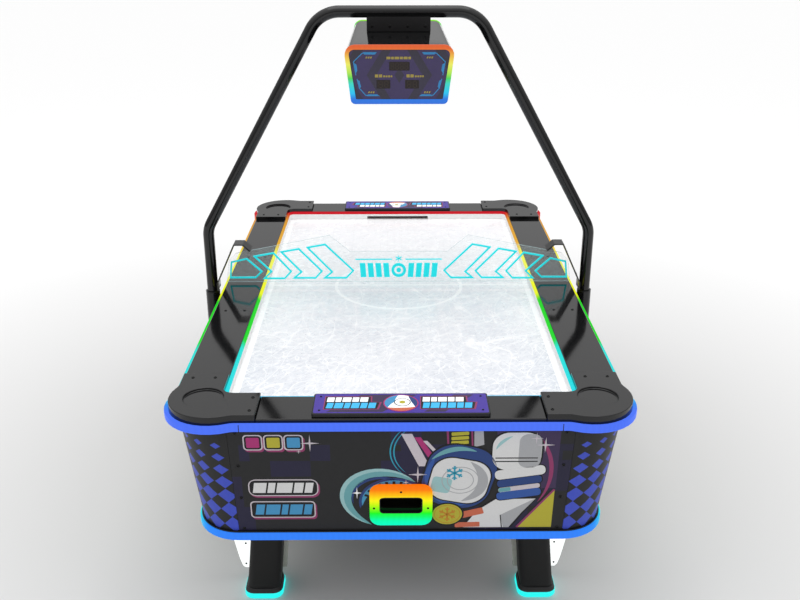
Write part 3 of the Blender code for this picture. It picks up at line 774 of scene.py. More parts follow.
RIM_STOPS: Stops = (
    (-1.075, screen(78, 116, 250)), (-0.985, screen(76, 118, 250)), (-0.945, screen(45, 140, 242)),
    (-0.890, screen(22, 222, 232)), (-0.580, screen(26, 226, 214)), (-0.520, screen(14, 218, 30)),
    (-0.170, screen(20, 214, 16)), (-0.110, screen(236, 244, 14)), (0.330, screen(250, 248, 22)),
    (0.460, screen(230, 172, 40)), (0.780, screen(216, 152, 44)), (0.900, screen(206, 16, 34)),
    (1.075, screen(200, 10, 28)),
)
LOWER_STOPS: Stops = (
    (-1.010, screen(52, 130, 252)), (-0.965, screen(40, 140, 250)), (-0.900, screen(50, 224, 236)),
    *RIM_STOPS[4:11], (0.880, screen(180, 34, 40)), (1.010, screen(168, 24, 30)),
)
RETURN_STOPS: Stops = (
    (0.433, screen(0, 255, 205)), (0.451, screen(0, 255, 180)), (0.466, screen(10, 252, 110)),
    (0.480, screen(24, 250, 30)), (0.500, screen(150, 252, 10)), (0.526, screen(252, 246, 20)),
    (0.546, screen(255, 190, 12)), (0.564, screen(255, 128, 6)), (0.578, screen(255, 118, 4)),
)
SCORE_FRONT_STOPS: Stops = (
    (1.528, screen(56, 116, 220)), (1.545, screen(54, 124, 226)), (1.562, screen(52, 196, 242)),
    (1.590, screen(70, 218, 200)), (1.606, screen(84, 212, 92)), (1.622, screen(176, 232, 90)),
    (1.648, screen(238, 236, 104)), (1.672, screen(238, 186, 78)), (1.694, screen(228, 108, 56)),
    (1.705, screen(224, 98, 56)),
)
SCORE_REAR_STOPS: Stops = (
    (1.528, screen(54, 120, 226)), (1.570, screen(48, 186, 240)), (1.620, screen(52, 226, 226)),
    (1.668, screen(66, 226, 150)), (1.690, screen(84, 232, 60)), (1.705, screen(150, 240, 60)),
)


class Finishes:
    """Every finish that the table uses."""

    rail_black = Lacquer("rail_black")
    arch_black = Lacquer("arch_black", roughness=0.09)
    satin_black = Moulding("satin_black", (0.006, 0.006, 0.007), 0.34)
    screw_black = Moulding("screw_black", (0.002, 0.002, 0.002), 0.30, 0.25, 1400.0)
    leg_charcoal = Moulding("leg_charcoal", screen(33, 33, 33), 0.46, 0.22)
    base_charcoal = Moulding("base_charcoal", screen(34, 34, 36), 0.55, 0.2)
    panel = PanelLaminate("panel_print")
    corner = DiamondLaminate("corner_print")
    rim_light = Glow("rim_light", RIM_STOPS)
    lower_light = Glow("lower_light", LOWER_STOPS)
    wall_light = Glow("wall_light", RIM_STOPS, only_above=0.7885, unlit=screen(244, 244, 244))
    return_light = Glow("return_light", RETURN_STOPS, upright=True)
    score_front_light = Glow("score_front_light", SCORE_FRONT_STOPS, upright=True)
    score_rear_light = Glow("score_rear_light", SCORE_REAR_STOPS, upright=True)
    ice = IceSheet("ice_sheet")
    chute = ChuteLining("chute_lining")
    # Near-black for holes and slots: painted shade standing for the dark inside an opening.
    dark_hole = Moulding("dark_hole", (0.010, 0.010, 0.012), 0.8)
    fin = FinAcrylic("fin_acrylic")
    foot = FootGlow("foot_glow_ring")
    pane = ClearPane("clear_pane")
    pane_edge = ClearPane("pane_edge", 0.55, (0.42, 0.62, 0.64))
    pane_glow = Ink("pane_glow", screen(30, 206, 212), 0.42)
    score_glass = ScoreGlass("score_glass_face")
    zinc = Metal("zinc_plate", (0.60, 0.61, 0.62), 0.40)
    steel = Metal("rolled_steel", (0.50, 0.51, 0.53), 0.32)
    casing = Metal("motor_case", (0.32, 0.33, 0.35), 0.38)
    board = Board("fibre_board")
    floor = StudioFloor("studio_floor")


class Inks:
    """Every printed colour."""

    coal = Ink("ink_coal", screen(30, 30, 32))
    pale = Ink("ink_pale", screen(196, 188, 194))
    white = Ink("ink_white", screen(212, 212, 212))
    # This white glows a little: painted light on print that has no lamp behind it.
    bright = Ink("ink_bright", screen(244, 244, 246), 0.12)
    grey = Ink("ink_grey", screen(164, 165, 168))
    magenta = Ink("ink_magenta", screen(140, 58, 100))
    pink = Ink("ink_pink", screen(166, 52, 112))
    yellow = Ink("ink_yellow", screen(178, 170, 56))
    ochre = Ink("ink_ochre", screen(186, 128, 44))
    # This cyan glows a little: painted light on print that has no lamp behind it.
    sky = Ink("ink_sky", screen(70, 144, 190))
    cyan = Ink("ink_cyan", screen(64, 176, 226), 0.10)
    navy = Ink("ink_navy", screen(44, 66, 120))
    blue = Ink("ink_blue", screen(52, 86, 156))
    teal = Ink("ink_teal", screen(104, 160, 166))
    aqua = Ink("ink_aqua", screen(150, 190, 192))
    snow = Ink("ink_snow", screen(48, 150, 176))
    coral = Ink("ink_coral", screen(196, 104, 78))
    plum = Ink("ink_plum", screen(62, 50, 80))
    violet = Ink("ink_violet", screen(72, 56, 150))
    amber = Ink("ink_amber", screen(158, 142, 74))
    bracket = Ink("ink_bracket", screen(58, 134, 190))
    window = Ink("ink_window", screen(44, 38, 38))
    ghost = Ink("ink_ghost", screen(66, 58, 50))


# Shapes

@dataclass(frozen=True)
class Plane:
    """A flat working plane: across and up lie in it, and out points off the surface."""

    origin: Vector
    across: Vector
    up: Vector

    @property
    def out(self) -> Vector:
        """The plane's outward direction."""
        return self.across.cross(self.up).normalized()

    def at(self, u: float, v: float, depth: float = 0.0) -> Vector:
        """The point u across, v up and depth out."""
        return self.origin + self.across * u + self.up * v + self.out * depth


def level_plane(place: Vector) -> Plane:
    """The level plane through a place, seen from above."""
    return Plane(place, Vector((1, 0, 0)), Vector((0, 1, 0)))


def facing(end_or_side: TableFace, distance: float) -> Plane:
    """The upright plane of one face of the table, with v measured from the floor.

    Args:
        end_or_side: Which face.
        distance: How far it is from the table's middle.

    Returns:
        The plane, as someone standing in front of that face sees it.
    """
    sign = end_or_side.value
    if isinstance(end_or_side, End):
        return Plane(Vector((0, sign * distance, 0)), Vector((-sign, 0, 0)), Vector((0, 0, 1)))
    return Plane(Vector((sign * distance, 0, 0)), Vector((0, sign, 0)), Vector((0, 0, 1)))


def cabinet_face(part: TableFace, proud: float = 0.0) -> Plane:
    """The leaning plane of one side of the cabinet, with v measured as height from the floor.

    Args:
        part: Which side of the cabinet.
        proud: How far the plane stands outside the panel.

    Returns:
        The plane, as someone standing in front of that side sees it.
    """
    foot = SIZES.cabinet_half_length if isinstance(part, End) else SIZES.cabinet_half_width
    level = facing(part, foot + proud - SIZES.lean * SIZES.panel_low)
    outward = level.out
    return Plane(level.origin, level.across, level.up + outward * SIZES.lean)


def arc(centre: Point, radii: Point, start: float, end: float, steps: int) -> list[Point]:
    """Points of an ellipse from one angle to another, both included."""
    angles = [start + (end - start) * i / steps for i in range(steps + 1)]
    return [(centre[0] + radii[0] * cos(a), centre[1] + radii[1] * sin(a)) for a in angles]


def oval(centre: Point, radii: Point, steps: int) -> list[Point]:
    """The closed outline of an ellipse."""
    return arc(centre, radii, 0.0, 2 * pi, steps)[:-1]


def rounded(centre: Point, half: Point, radius: float, steps: int = 5) -> list[Point]:
    """The outline of a rectangle with round corners."""
    points: list[Point] = []
    for sx, sy, start in ((1, 1, 0.0), (-1, 1, pi / 2), (-1, -1, pi), (1, -1, 1.5 * pi)):
        middle = (centre[0] + sx * (half[0] - radius), centre[1] + sy * (half[1] - radius))
        points += arc(middle, (radius, radius), start, start + pi / 2, steps)
    return points


def rolled(points: Outline, centre: Point, degrees: float) -> list[Point]:
    """The points turned about a centre."""
    c, s = cos(radians(degrees)), sin(radians(degrees))
    moved = [(u - centre[0], v - centre[1]) for u, v in points]
    return [(centre[0] + u * c - v * s, centre[1] + u * s + v * c) for u, v in moved]


def tilted(centre: Point, half: Point, radius: float, degrees: float, steps: int = 5) -> list[Point]:
    """A rectangle with round corners, turned about its own centre."""
    return rolled(rounded(centre, half, radius, steps), centre, degrees)


def star(centre: Point, reach: Point, waist: float = 0.16) -> list[Point]:
    """A four-point sparkle."""
    points = []
    for i in range(8):
        share = 1.0 if i % 2 == 0 else waist
        angle = i * pi / 4
        points.append(
            (centre[0] + reach[0] * share * cos(angle), centre[1] + reach[1] * share * sin(angle))
        )
    return points


def stroke(points: Outline, width: float) -> list[Point]:
    """The outline of a line of even width through some points.

    Args:
        points: The line's points.
        width: How wide the line is.

    Returns:
        A closed outline.
    """
    path = [Vector(p) for p in points]
    left, right = [], []
    for i, point in enumerate(path):
        before = (point - path[i - 1]).normalized() if i else None
        after = (path[i + 1] - point).normalized() if i + 1 < len(path) else None
        before, after = before or after, after or before
        mean = (before + after).normalized()
        reach = min(width / 2 / max(mean.dot(after), 0.3), width)
        normal = Vector((-mean.y, mean.x)) * reach
        left.append(tuple(point + normal))
        right.append(tuple(point - normal))
    return left + right[::-1]


def crescent(
    centre: Point, radii: Point, tilt: float, start: float, end: float, width: float,
) -> list[Point]:
    """A band along part of an ellipse that narrows to a point at both ends.

    Args:
        centre: The ellipse's centre.
        radii: Its two radii.
        tilt: How far it is rolled, in degrees.
        start: Where the band starts, in degrees.
        end: Where it ends, in degrees.
        width: Its greatest width, measured inwards.

    Returns:
        A closed outline.
    """
    steps = 22
    outer = arc(centre, radii, radians(start), radians(end), steps)
    inner = []
    for i in range(1, steps):
        angle = radians(start + (end - start) * i / steps)
        deep = width * sin(pi * i / steps) ** 0.7
        inner.append(
            (centre[0] + (radii[0] - deep) * cos(angle), centre[1] + (radii[1] - deep) * sin(angle))
        )
    return rolled(outer + inner[::-1], centre, tilt)


def area_of(outline: Outline) -> float:
    """An outline's area, positive if it runs anticlockwise."""
    pairs = zip(outline, list(outline[1:]) + [outline[0]])
    return sum(a[0] * b[1] - b[0] * a[1] for a, b in pairs) / 2


def add_slab(solid: Solid, plane: Plane, outline: Outline, low: float, high: float, index: int = 0) -> None:
    """Adds a closed plate to a mesh.

    Args:
        solid: The mesh being built.
        plane: The plane it lies on.
        outline: Its outline in that plane.
        low: The depth of its underside.
        high: The depth of its face.
        index: Which of the piece's finishes it takes.
    """
    points = list(outline) if area_of(outline) > 0 else list(outline)[::-1]
    base = [solid.verts.new(plane.at(u, v, low)) for u, v in points]
    top = [solid.verts.new(plane.at(u, v, high)) for u, v in points]
    made = [solid.faces.new(base[::-1]), solid.faces.new(top)]
    for i in range(len(points)):
        j = (i + 1) % len(points)
        made.append(solid.faces.new((base[i], base[j], top[j], top[i])))
    for face in made:
        face.material_index = index


def add_frame(
    solid: Solid, plane: Plane, outer: Outline, inner: Outline, low: float, high: float, index: int = 0,
) -> None:
    """Adds a closed plate with a hole, from two outlines of equal length.

    Args:
        solid: The mesh being built.
        plane: The plane it lies on.
        outer: Its outer outline, anticlockwise.
        inner: Its hole, with as many points.
        low: The depth of its underside.
        high: The depth of its face.
        index: Which of the piece's finishes it takes.
    """
    levels = ((outer, low), (outer, high), (inner, high), (inner, low))
    rows = [[solid.verts.new(plane.at(u, v, depth)) for u, v in line] for line, depth in levels]
    for row, after in zip(rows, rows[1:] + rows[:1]):
        for i in range(len(outer)):
            j = (i + 1) % len(outer)
            solid.faces.new((row[i], row[j], after[j], after[i])).material_index = index


def add_turned(
    solid: Solid, plane: Plane, centre: Point, profile: Outline, sides: int, index: int = 0,
) -> None:
    """Adds a turned solid whose axis points out of a plane.

    Args:
        solid: The mesh being built.
        plane: The plane it stands on.
        centre: Where its axis meets the plane.
        profile: Its radius and depth, from its foot to its top.
        sides: How many sides it has.
        index: Which of the piece's finishes it takes.
    """
    rows = []
    for radius, depth in profile:
        ring = oval(centre, (radius, radius), sides)
        rows.append([solid.verts.new(plane.at(u, v, depth)) for u, v in ring])
    made = [solid.faces.new(rows[0][::-1]), solid.faces.new(rows[-1])]
    for low, high in zip(rows, rows[1:]):
        for i in range(sides):
            j = (i + 1) % sides
            made.append(solid.faces.new((low[i], low[j], high[j], high[i])))
    for face in made:
        face.material_index = index


def settle(name: str, mesh: bpy.types.Mesh, body: str, sharp: float = 32.0) -> Piece:
    """Makes a finished mesh a piece of the table.

    Args:
        name: The piece's name.
        mesh: Its mesh, in place.
        body: The body it rides on.
        sharp: The angle in degrees from which an edge stays sharp.

    Returns:
        The piece.
    """
    mesh.shade_smooth()
    mesh.set_sharp_from_angle(angle=radians(sharp))
    piece = bpy.data.objects.new(name, mesh)
    bpy.context.scene.collection.objects.link(piece)
    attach(piece, body)
    return piece


def mesh_of(name: str, solid: Solid) -> bpy.types.Mesh:
    """A new mesh from a solid that was built face by face, which is freed."""
    mesh = bpy.data.meshes.new(name)
    solid.to_mesh(mesh)
    solid.free()
    return mesh


def solid_piece(
    name: str, solid: Solid, finishes: Sequence[Finish], body: str = "table",
    sharp: float = 32.0,
) -> Piece:
    """Makes a piece from a mesh that was built face by face.

    Args:
        name: The piece's name.
        solid: The mesh, which is freed.
        finishes: Its finishes, in the order of its faces' indices.
        body: The body it rides on.
        sharp: The angle from which an edge stays sharp.

    Returns:
        The piece.
    """
    mesh = mesh_of(name, solid)
    for finish in finishes:
        mesh.materials.append(finish.material())
    return settle(name, mesh, body, sharp)


def refined(
    node: str, finish: Finish, edge: float = 0.0015, segments: int = 3, body: str = "table",
    sharp: float = 32.0,
) -> Piece:
    """A copy of a frame node with clean faces and rounded edges, which stands for it.

    Args:
        node: The frame node.
        finish: The copy's finish.
        edge: The radius of its rounded edges.
        segments: How many faces round each edge.
        body: The body it rides on.
        sharp: The angle from which an edge is rounded.

    Returns:
        The piece.
    """
    solid = bmesh.new()
    solid.from_mesh(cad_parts[node].data)
    bmesh.ops.remove_doubles(solid, verts=solid.verts, dist=1e-5)
    bmesh.ops.dissolve_limit(solid, angle_limit=radians(0.4), verts=solid.verts, edges=solid.edges)
    bmesh.ops.recalc_face_normals(solid, faces=solid.faces)
    for face in solid.faces:
        face.material_index = 0
    mesh = mesh_of(f"{node}_body", solid)
    mesh.materials.append(finish.material())
    piece = settle(f"{node}_body", mesh, body, sharp)
    if edge > 0:
        bevel = piece.modifiers.new("edges", "BEVEL")
        bevel.width = edge
        bevel.segments = segments
        bevel.limit_method = "ANGLE"
        bevel.angle_limit = radians(sharp)
        bevel.harden_normals = True
    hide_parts(node)
    return piece


def dress(node: str, finish: Finish) -> Piece:
    """Gives a frame node that stays a better finish."""
    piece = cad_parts[node]
    piece.data.materials.clear()
    piece.data.materials.append(finish.material())
    return piece


# Fasteners

class ScrewKind(Enum):
    """Button-head screws used on the table, by the diameter of their heads."""

    SMALL = 0.007
    MEDIUM = 0.010


class Fasteners:
    """Screws set on lists of places, all grown by one node tree."""

    def __init__(self) -> None:
        """Makes the tree and the one screw head that it repeats."""
        self.tree = GeometryGraph("screw_rows", {
            "Head": "NodeSocketObject", "Size": "NodeSocketFloat", "Seed": "NodeSocketInt",
        })
        self.head = self._head()
        self._draw()

    @staticmethod
    def _head() -> Piece:
        """A domed head a metre across with a hollow drive, scaled down where it is used."""
        flat = level_plane(Vector())
        profile = ((0.50, -0.04), (0.50, 0.05), (0.44, 0.15), (0.30, 0.21), (0.24, 0.21), (0.20, 0.06))
        solid = bmesh.new()
        add_turned(solid, flat, (0.0, 0.0), profile, 12)
        return bpy.data.objects.new("screw_head", mesh_of("screw_head", solid))

    def _draw(self) -> None:
        """Each point gets a head that faces the way its attribute says, turned about its axis."""
        tree = self.tree
        way = tree.wire(
            "GeometryNodeInputNamedAttribute", {"data_type": "FLOAT_VECTOR"}, {"Name": "facing"},
        )
        stand = tree.wire("FunctionNodeAlignRotationToVector", {"axis": "Z"}, {"Vector": way})
        angle = tree.wire(
            "FunctionNodeRandomValue", {"data_type": "FLOAT"},
            {2: 0.0, 3: 2 * pi, "Seed": tree.given("Seed")}, 1,
        )
        spin = tree.wire("FunctionNodeAxisAngleToRotation", {}, {"Axis": (0.0, 0.0, 1.0), "Angle": angle})
        turn = tree.wire("FunctionNodeRotateRotation", {"rotation_space": "LOCAL"}, {0: stand, 1: spin})
        head = tree.wire("GeometryNodeObjectInfo", {}, {"Object": tree.given("Head")}, "Geometry")
        rows = tree.wire("GeometryNodeInstanceOnPoints", {}, {
            "Points": tree.given("Geometry"), "Instance": head, "Rotation": turn,
            "Scale": tree.given("Size"),
        })
        tree.close(rows)

    def fit(
        self, name: str, places: Sequence[tuple[Vector, Vector]], kind: ScrewKind,
        finish: Finish = Finishes.screw_black, slot: str = "black_moulding", body: str = "table",
    ) -> Piece:
        """Sets one head on each place.

        Args:
            name: The piece's name.
            places: Each screw's seat and the direction it faces.
            kind: The screw's size.
            finish: Its finish.
            slot: A material slot's name, which is not used.
            body: The body they ride on.

        Returns:
            All the heads, as one piece.
        """
        seats = bpy.data.meshes.new(f"{name}_seats")
        seats.from_pydata([seat for seat, _ in places], [], [])
        ways = seats.attributes.new("facing", "FLOAT_VECTOR", "POINT")
        ways.data.foreach_set("vector", [value for _, way in places for value in way])
        values = {"Head": self.head, "Size": kind.value, "Seed": 7, "Finish": finish.material()}
        mesh = self.tree.grow(name, seats, values)
        return settle(name, mesh, body, 40.0)


def on_plane(plane: Plane, spots: Outline, depth: float = 0.0) -> list[tuple[Vector, Vector]]:
    """Screw places on a plane, each facing out of it."""
    return [(plane.at(u, v, depth), plane.out) for u, v in spots]


# Print

class Print:
    """Layers of ink on a flat panel, each shape a very thin closed plate."""

    def __init__(self, name: str, plane: Plane, shift: float = 0.0) -> None:
        """Starts an empty print.

        Args:
            name: The piece's name.
            plane: The panel's face.
            shift: How far across every shape is moved.
        """
        self.name = name
        self.plane = plane
        self.shift = shift
        self.solid = bmesh.new()
        self.inks: list[Ink] = []

    def shape(self, outline: Outline, ink: Ink, layer: int) -> None:
        """Adds one outline in one ink, on a layer counted from 1."""
        if ink not in self.inks:
            self.inks.append(ink)
        moved = [(u + self.shift, v) for u, v in outline]
        high = PRINT_LIFT + layer * PRINT_STEP
        add_slab(self.solid, self.plane, moved, -0.0001, high, self.inks.index(ink))

    def disc(self, centre: Point, radii: Point, ink: Ink, layer: int) -> None:
        """Adds an ellipse."""
        self.shape(oval(centre, radii, 36), ink, layer)

    def ring(self, centre: Point, radii: Point, width: float, ink: Ink, layer: int) -> None:
        """Adds an elliptical ring as one closed plate with a hole."""
        if ink not in self.inks:
            self.inks.append(ink)
        middle = (centre[0] + self.shift, centre[1])
        outer = oval(middle, radii, 40)
        inner = oval(middle, (radii[0] - width, radii[1] - width), 40)
        add_frame(
            self.solid, self.plane, outer, inner, -0.0001, PRINT_LIFT + layer * PRINT_STEP,
            self.inks.index(ink),
        )

    def line(self, points: Outline, width: float, ink: Ink, layer: int) -> None:
        """Adds a line of even width."""
        self.shape(stroke(points, width), ink, layer)

    def snowflake(self, centre: Point, reach: float, ink: Ink, layer: int) -> None:
        """Adds a six-armed snowflake with short side twigs."""
        for i in range(3):
            a = pi / 6 + i * pi / 3
            du, dv = reach * cos(a), reach * sin(a)
            self.line([
                (centre[0] - du, centre[1] - dv), (centre[0] + du, centre[1] + dv),
            ], reach * 0.20, ink, layer)
        for i in range(6):
            a = pi / 6 + i * pi / 3
            fork = (centre[0] + reach * 0.55 * cos(a), centre[1] + reach * 0.55 * sin(a))
            for turn in (-0.8, 0.8):
                tip = (fork[0] + reach * 0.36 * cos(a + turn), fork[1] + reach * 0.36 * sin(a + turn))
                self.line([fork, tip], reach * 0.14, ink, layer + 1)

    def bars(
        self, left: float, low: float, high: float, widths: Sequence[float], gap: float, slant: float,
        ink: Ink, layer: int,
    ) -> None:
        """Adds a row of slanted bars.

        Args:
            left: Where the row starts.
            low: Its lower edge.
            high: Its upper edge.
            widths: The width of each bar.
            gap: The space between bars.
            slant: How far the top leans across.
            ink: Their colour.
            layer: Their layer.
        """
        for width in widths:
            self.shape([
                (left, low), (left + width, low), (left + width + slant, high), (left + slant, high),
            ], ink, layer)
            left += width + gap

    def done(self, body: str = "table") -> Piece:
        """Ends the print as one piece."""
        return solid_piece(self.name, self.solid, self.inks, body, 20.0)


@dataclass
class PanelArt:
    """A cabinet panel's print: tag blocks, a gauge swoosh, and a striker chasing a puck."""

    name: str
    plane: Plane
    tags_at: float = 0.0
    swoosh_at: "float | None" = 0.0
    chase_at: float = 0.0
    pieces: list = field(default_factory=list)

    def _block(self, art: Print, centre: Point, half: Point, radius: float, fill: Ink) -> None:
        """A dark block with a pale rim and a pink shadow, ready to be filled."""
        low = (centre[0] + 0.004, centre[1] - 0.006)
        art.shape(rounded(low, half, radius), Inks.magenta, 1)
        art.shape(rounded(centre, half, radius), Inks.pale, 2)
        art.shape(rounded(centre, (half[0] - 0.0035, half[1] - 0.0035), radius * 0.8), fill, 3)

    def tags(self) -> None:
        """Three colour squares over two blocks of slanted bars."""
        art = Print(f"{self.name}_tags", self.plane, self.tags_at)
        for middle, ink in ((-0.4075, Inks.pink), (-0.3510, Inks.yellow), (-0.2955, Inks.sky)):
            self._block(art, (middle, 0.7235), (0.0268, 0.0262), 0.011, Inks.coal)
            art.shape(rounded((middle, 0.7235), (0.0180, 0.0172), 0.004), ink, 4)
        art.shape(star((-0.251, 0.721), (0.026, 0.029), 0.13), Inks.pale, 5)
        art.shape(star((-0.283, 0.692), (0.007, 0.007), 0.2), Inks.pale, 5)
        self._block(art, (-0.3325, 0.5650), (0.0990, 0.0300), 0.022, Inks.coal)
        art.bars(-0.4200, 0.5470, 0.5830, (0.036, 0.020, 0.044, 0.026, 0.022), 0.0050, 0.006, Inks.white, 4)
        self._block(art, (-0.3377, 0.4853), (0.0930, 0.0305), 0.012, Inks.coal)
        art.bars(-0.4180, 0.4670, 0.5040, (0.024, 0.040, 0.018, 0.036, 0.022), 0.0050, 0.006, Inks.sky, 4)
        self.pieces.append(art.done())

    def swoosh(self) -> None:
        """A crescent with a light edge, and a toothed gauge ring rising behind the puck return."""
        art = Print(f"{self.name}_swoosh", self.plane, self.swoosh_at)
        centre = (-0.055, 0.527)
        art.shape(crescent(centre, (0.120, 0.104), -14.0, 48.0, 268.0, 0.036), Inks.teal, 2)
        art.shape(crescent(centre, (0.120, 0.104), -14.0, 54.0, 262.0, 0.013), Inks.aqua, 3)
        art.shape(crescent(centre, (0.086, 0.076), -12.0, 56.0, 210.0, 0.010), Inks.navy, 2)
        gauge = (-0.020, 0.512)
        art.shape(crescent(gauge, (0.100, 0.086), 0.0, 34.0, 196.0, 0.030), Inks.navy, 2)
        art.shape(crescent(gauge, (0.092, 0.078), 0.0, 40.0, 190.0, 0.020), Inks.sky, 3)
        for i in range(9):
            angle = radians(48 + 14 * i)
            base = (gauge[0] + 0.078 * cos(angle), gauge[1] + 0.064 * sin(angle))
            tip = (gauge[0] + 0.089 * cos(angle), gauge[1] + 0.075 * sin(angle))
            art.line([base, tip], 0.008, Inks.coal, 4)
        art.shape(star((-0.125, 0.545), (0.013, 0.022), 0.16), Inks.bright, 5)
        art.shape(star((0.014, 0.583), (0.007, 0.009), 0.2), Inks.white, 5)
        self.pieces.append(art.done())

    def _puck(self, art: Print) -> None:
        """A big tilted puck: blue rim, pale face with grooves, a shaded edge and a cool highlight."""
        middle = (0.163, 0.602)
        art.shape(tilted(middle, (0.103, 0.114), 0.082, -14.0, 10), Inks.coal, 4)
        art.shape(tilted(middle, (0.098, 0.109), 0.078, -14.0, 10), Inks.navy, 5)
        art.shape(crescent(middle, (0.096, 0.106), -14.0, 150.0, 330.0, 0.030), Inks.blue, 6)
        art.shape(crescent((0.158, 0.604), (0.092, 0.104), -6.0, 62.0, 150.0, 0.016), Inks.teal, 7)
        face = (0.165, 0.588)
        art.shape(tilted(face, (0.087, 0.080), 0.058, -12.0, 10), Inks.coal, 7)
        art.shape(tilted(face, (0.083, 0.076), 0.055, -12.0, 10), Inks.white, 8)
        art.shape(crescent(face, (0.081, 0.073), -12.0, -75.0, 80.0, 0.030), Inks.grey, 9)
        art.shape(tilted((0.113, 0.574), (0.028, 0.027), 0.010, -12.0), Inks.aqua, 9)
        art.ring((0.167, 0.590), (0.053, 0.048), 0.0024, Inks.grey, 10)
        art.ring((0.167, 0.590), (0.038, 0.035), 0.0024, Inks.grey, 10)
        art.snowflake((0.150, 0.616), 0.025, Inks.snow, 11)

    def _striker(self, art: Print) -> None:
        """A striker seen from the side: a pale grooved knob on a stepped blue base."""
        art.shape(rounded((0.321, 0.690), (0.073, 0.070), 0.050, 8), Inks.coal, 4)
        art.shape(rounded((0.321, 0.690), (0.068, 0.065), 0.046, 8), Inks.white, 5)
        art.shape(rounded((0.357, 0.692), (0.031, 0.058), 0.025, 8), Inks.grey, 6)
        for level in (0.656, 0.668):
            art.line([(0.262, level), (0.380, level)], 0.0036, Inks.coal, 7)
        art.shape(crescent((0.316, 0.694), (0.054, 0.050), 0.0, 100.0, 176.0, 0.010), Inks.aqua, 7)
        tiers = (
            (0.617, 0.074, 0.0165, Inks.white), (0.585, 0.066, 0.0130, Inks.navy),
            (0.562, 0.062, 0.0080, Inks.pale), (0.540, 0.066, 0.0140, Inks.blue),
        )
        for level, half, rise, ink in tiers:
            middle = (0.334, level)
            art.shape(tilted(middle, (half, rise + 0.003), rise, 9.0), Inks.coal, 4)
            art.shape(tilted(middle, (half - 0.003, rise), rise * 0.8, 9.0), ink, 6)
        art.shape(
            rolled(rounded((0.293, 0.562), (0.017, 0.0070), 0.003), (0.334, 0.562), 9.0), Inks.teal, 7,
        )

    def _trails(self, art: Print) -> None:
        """Streaks that stream off the puck, and its pale wake."""
        art.shape([
            (0.170, 0.4155), (0.214, 0.485), (0.268, 0.526), (0.392, 0.528), (0.352, 0.470),
            (0.320, 0.4155),
        ], Inks.coal, 2)
        art.shape([
            (0.180, 0.4155), (0.218, 0.478), (0.270, 0.520), (0.384, 0.522), (0.346, 0.470),
            (0.312, 0.4155),
        ], Inks.white, 3)
        art.shape([
            (0.296, 0.4155), (0.286, 0.462), (0.372, 0.516), (0.384, 0.522), (0.346, 0.470),
            (0.312, 0.4155),
        ], Inks.grey, 4)
        art.line([(0.286, 0.462), (0.292, 0.4155)], 0.003, Inks.coal, 5)
        bars = (
            (0.020, 0.0, 0.030, Inks.pale), (0.056, 0.012, 0.018, Inks.pink),
            (0.080, 0.024, 0.012, Inks.pale),
        )
        for left, drop, width, ink in bars:
            foot, head = 0.640 + drop, 0.752 - drop
            art.shape([
                (left + 0.030, foot), (left - 0.020, head), (left - 0.020 + width, head),
                (left + 0.030 + width, foot),
            ], ink, 3)
        art.shape([(0.128, 0.705), (0.124, 0.763), (0.196, 0.763), (0.200, 0.700)], Inks.magenta, 2)
        art.shape([(0.133, 0.709), (0.130, 0.763), (0.191, 0.763), (0.195, 0.706)], Inks.coal, 3)
        for level in (0.722, 0.737, 0.752):
            art.shape(tilted((0.162, level), (0.024, 0.0058), 0.003, 4.0), Inks.yellow, 4)
        art.shape([(0.202, 0.706), (0.200, 0.763), (0.225, 0.763), (0.229, 0.714)], Inks.grey, 2)
        art.shape(tilted((0.203, 0.470), (0.034, 0.0115), 0.003, 16.0), Inks.coral, 5)
        art.shape(tilted((0.192, 0.426), (0.036, 0.0090), 0.003, 2.0), Inks.coral, 5)
        for reach in (0.118, 0.128):
            art.shape(
                crescent((0.096, 0.690), (reach, reach * 0.86), 0.0, 132.0, 226.0, 0.004), Inks.snow, 1,
            )

    def chase(self) -> None:
        """The puck, the striker, their trails, a medallion and the bright corner."""
        art = Print(f"{self.name}_chase", self.plane, self.chase_at)
        art.shape([(0.262, 0.763), (0.284, 0.560), (0.438, 0.560), (0.438, 0.763)], Inks.plum, 1)
        art.shape(crescent((0.312, 0.620), (0.115, 0.150), 0.0, -48.0, 68.0, 0.012), Inks.magenta, 2)
        art.shape([(0.338, 0.4155), (0.436, 0.552), (0.436, 0.4155)], Inks.yellow, 2)
        art.line([(0.3355, 0.4155), (0.435, 0.555)], 0.006, Inks.magenta, 3)
        self._trails(art)
        self._puck(art)
        self._striker(art)
        art.disc((0.133, 0.466), (0.0480, 0.0430), Inks.coal, 9)
        art.disc((0.133, 0.466), (0.0430, 0.0380), Inks.yellow, 10)
        art.ring((0.133, 0.466), (0.0380, 0.0335), 0.0018, Inks.ochre, 11)
        art.snowflake((0.133, 0.466), 0.026, Inks.ochre, 11)
        sparkles = (
            (0.047, 0.611, 0.026, 0.030), (0.372, 0.736, 0.018, 0.020), (0.398, 0.713, 0.026, 0.026),
        )
        for u, v, wide, tall in sparkles:
            art.shape(star((u, v), (wide, tall), 0.14), Inks.pale, 12)
        self.pieces.append(art.done())

    def build(self) -> Pieces:
        """All of the panel's print."""
        self.tags()
        if self.swoosh_at is not None:
            self.swoosh()
        self.chase()
        return self.pieces


# Sub-assemblies

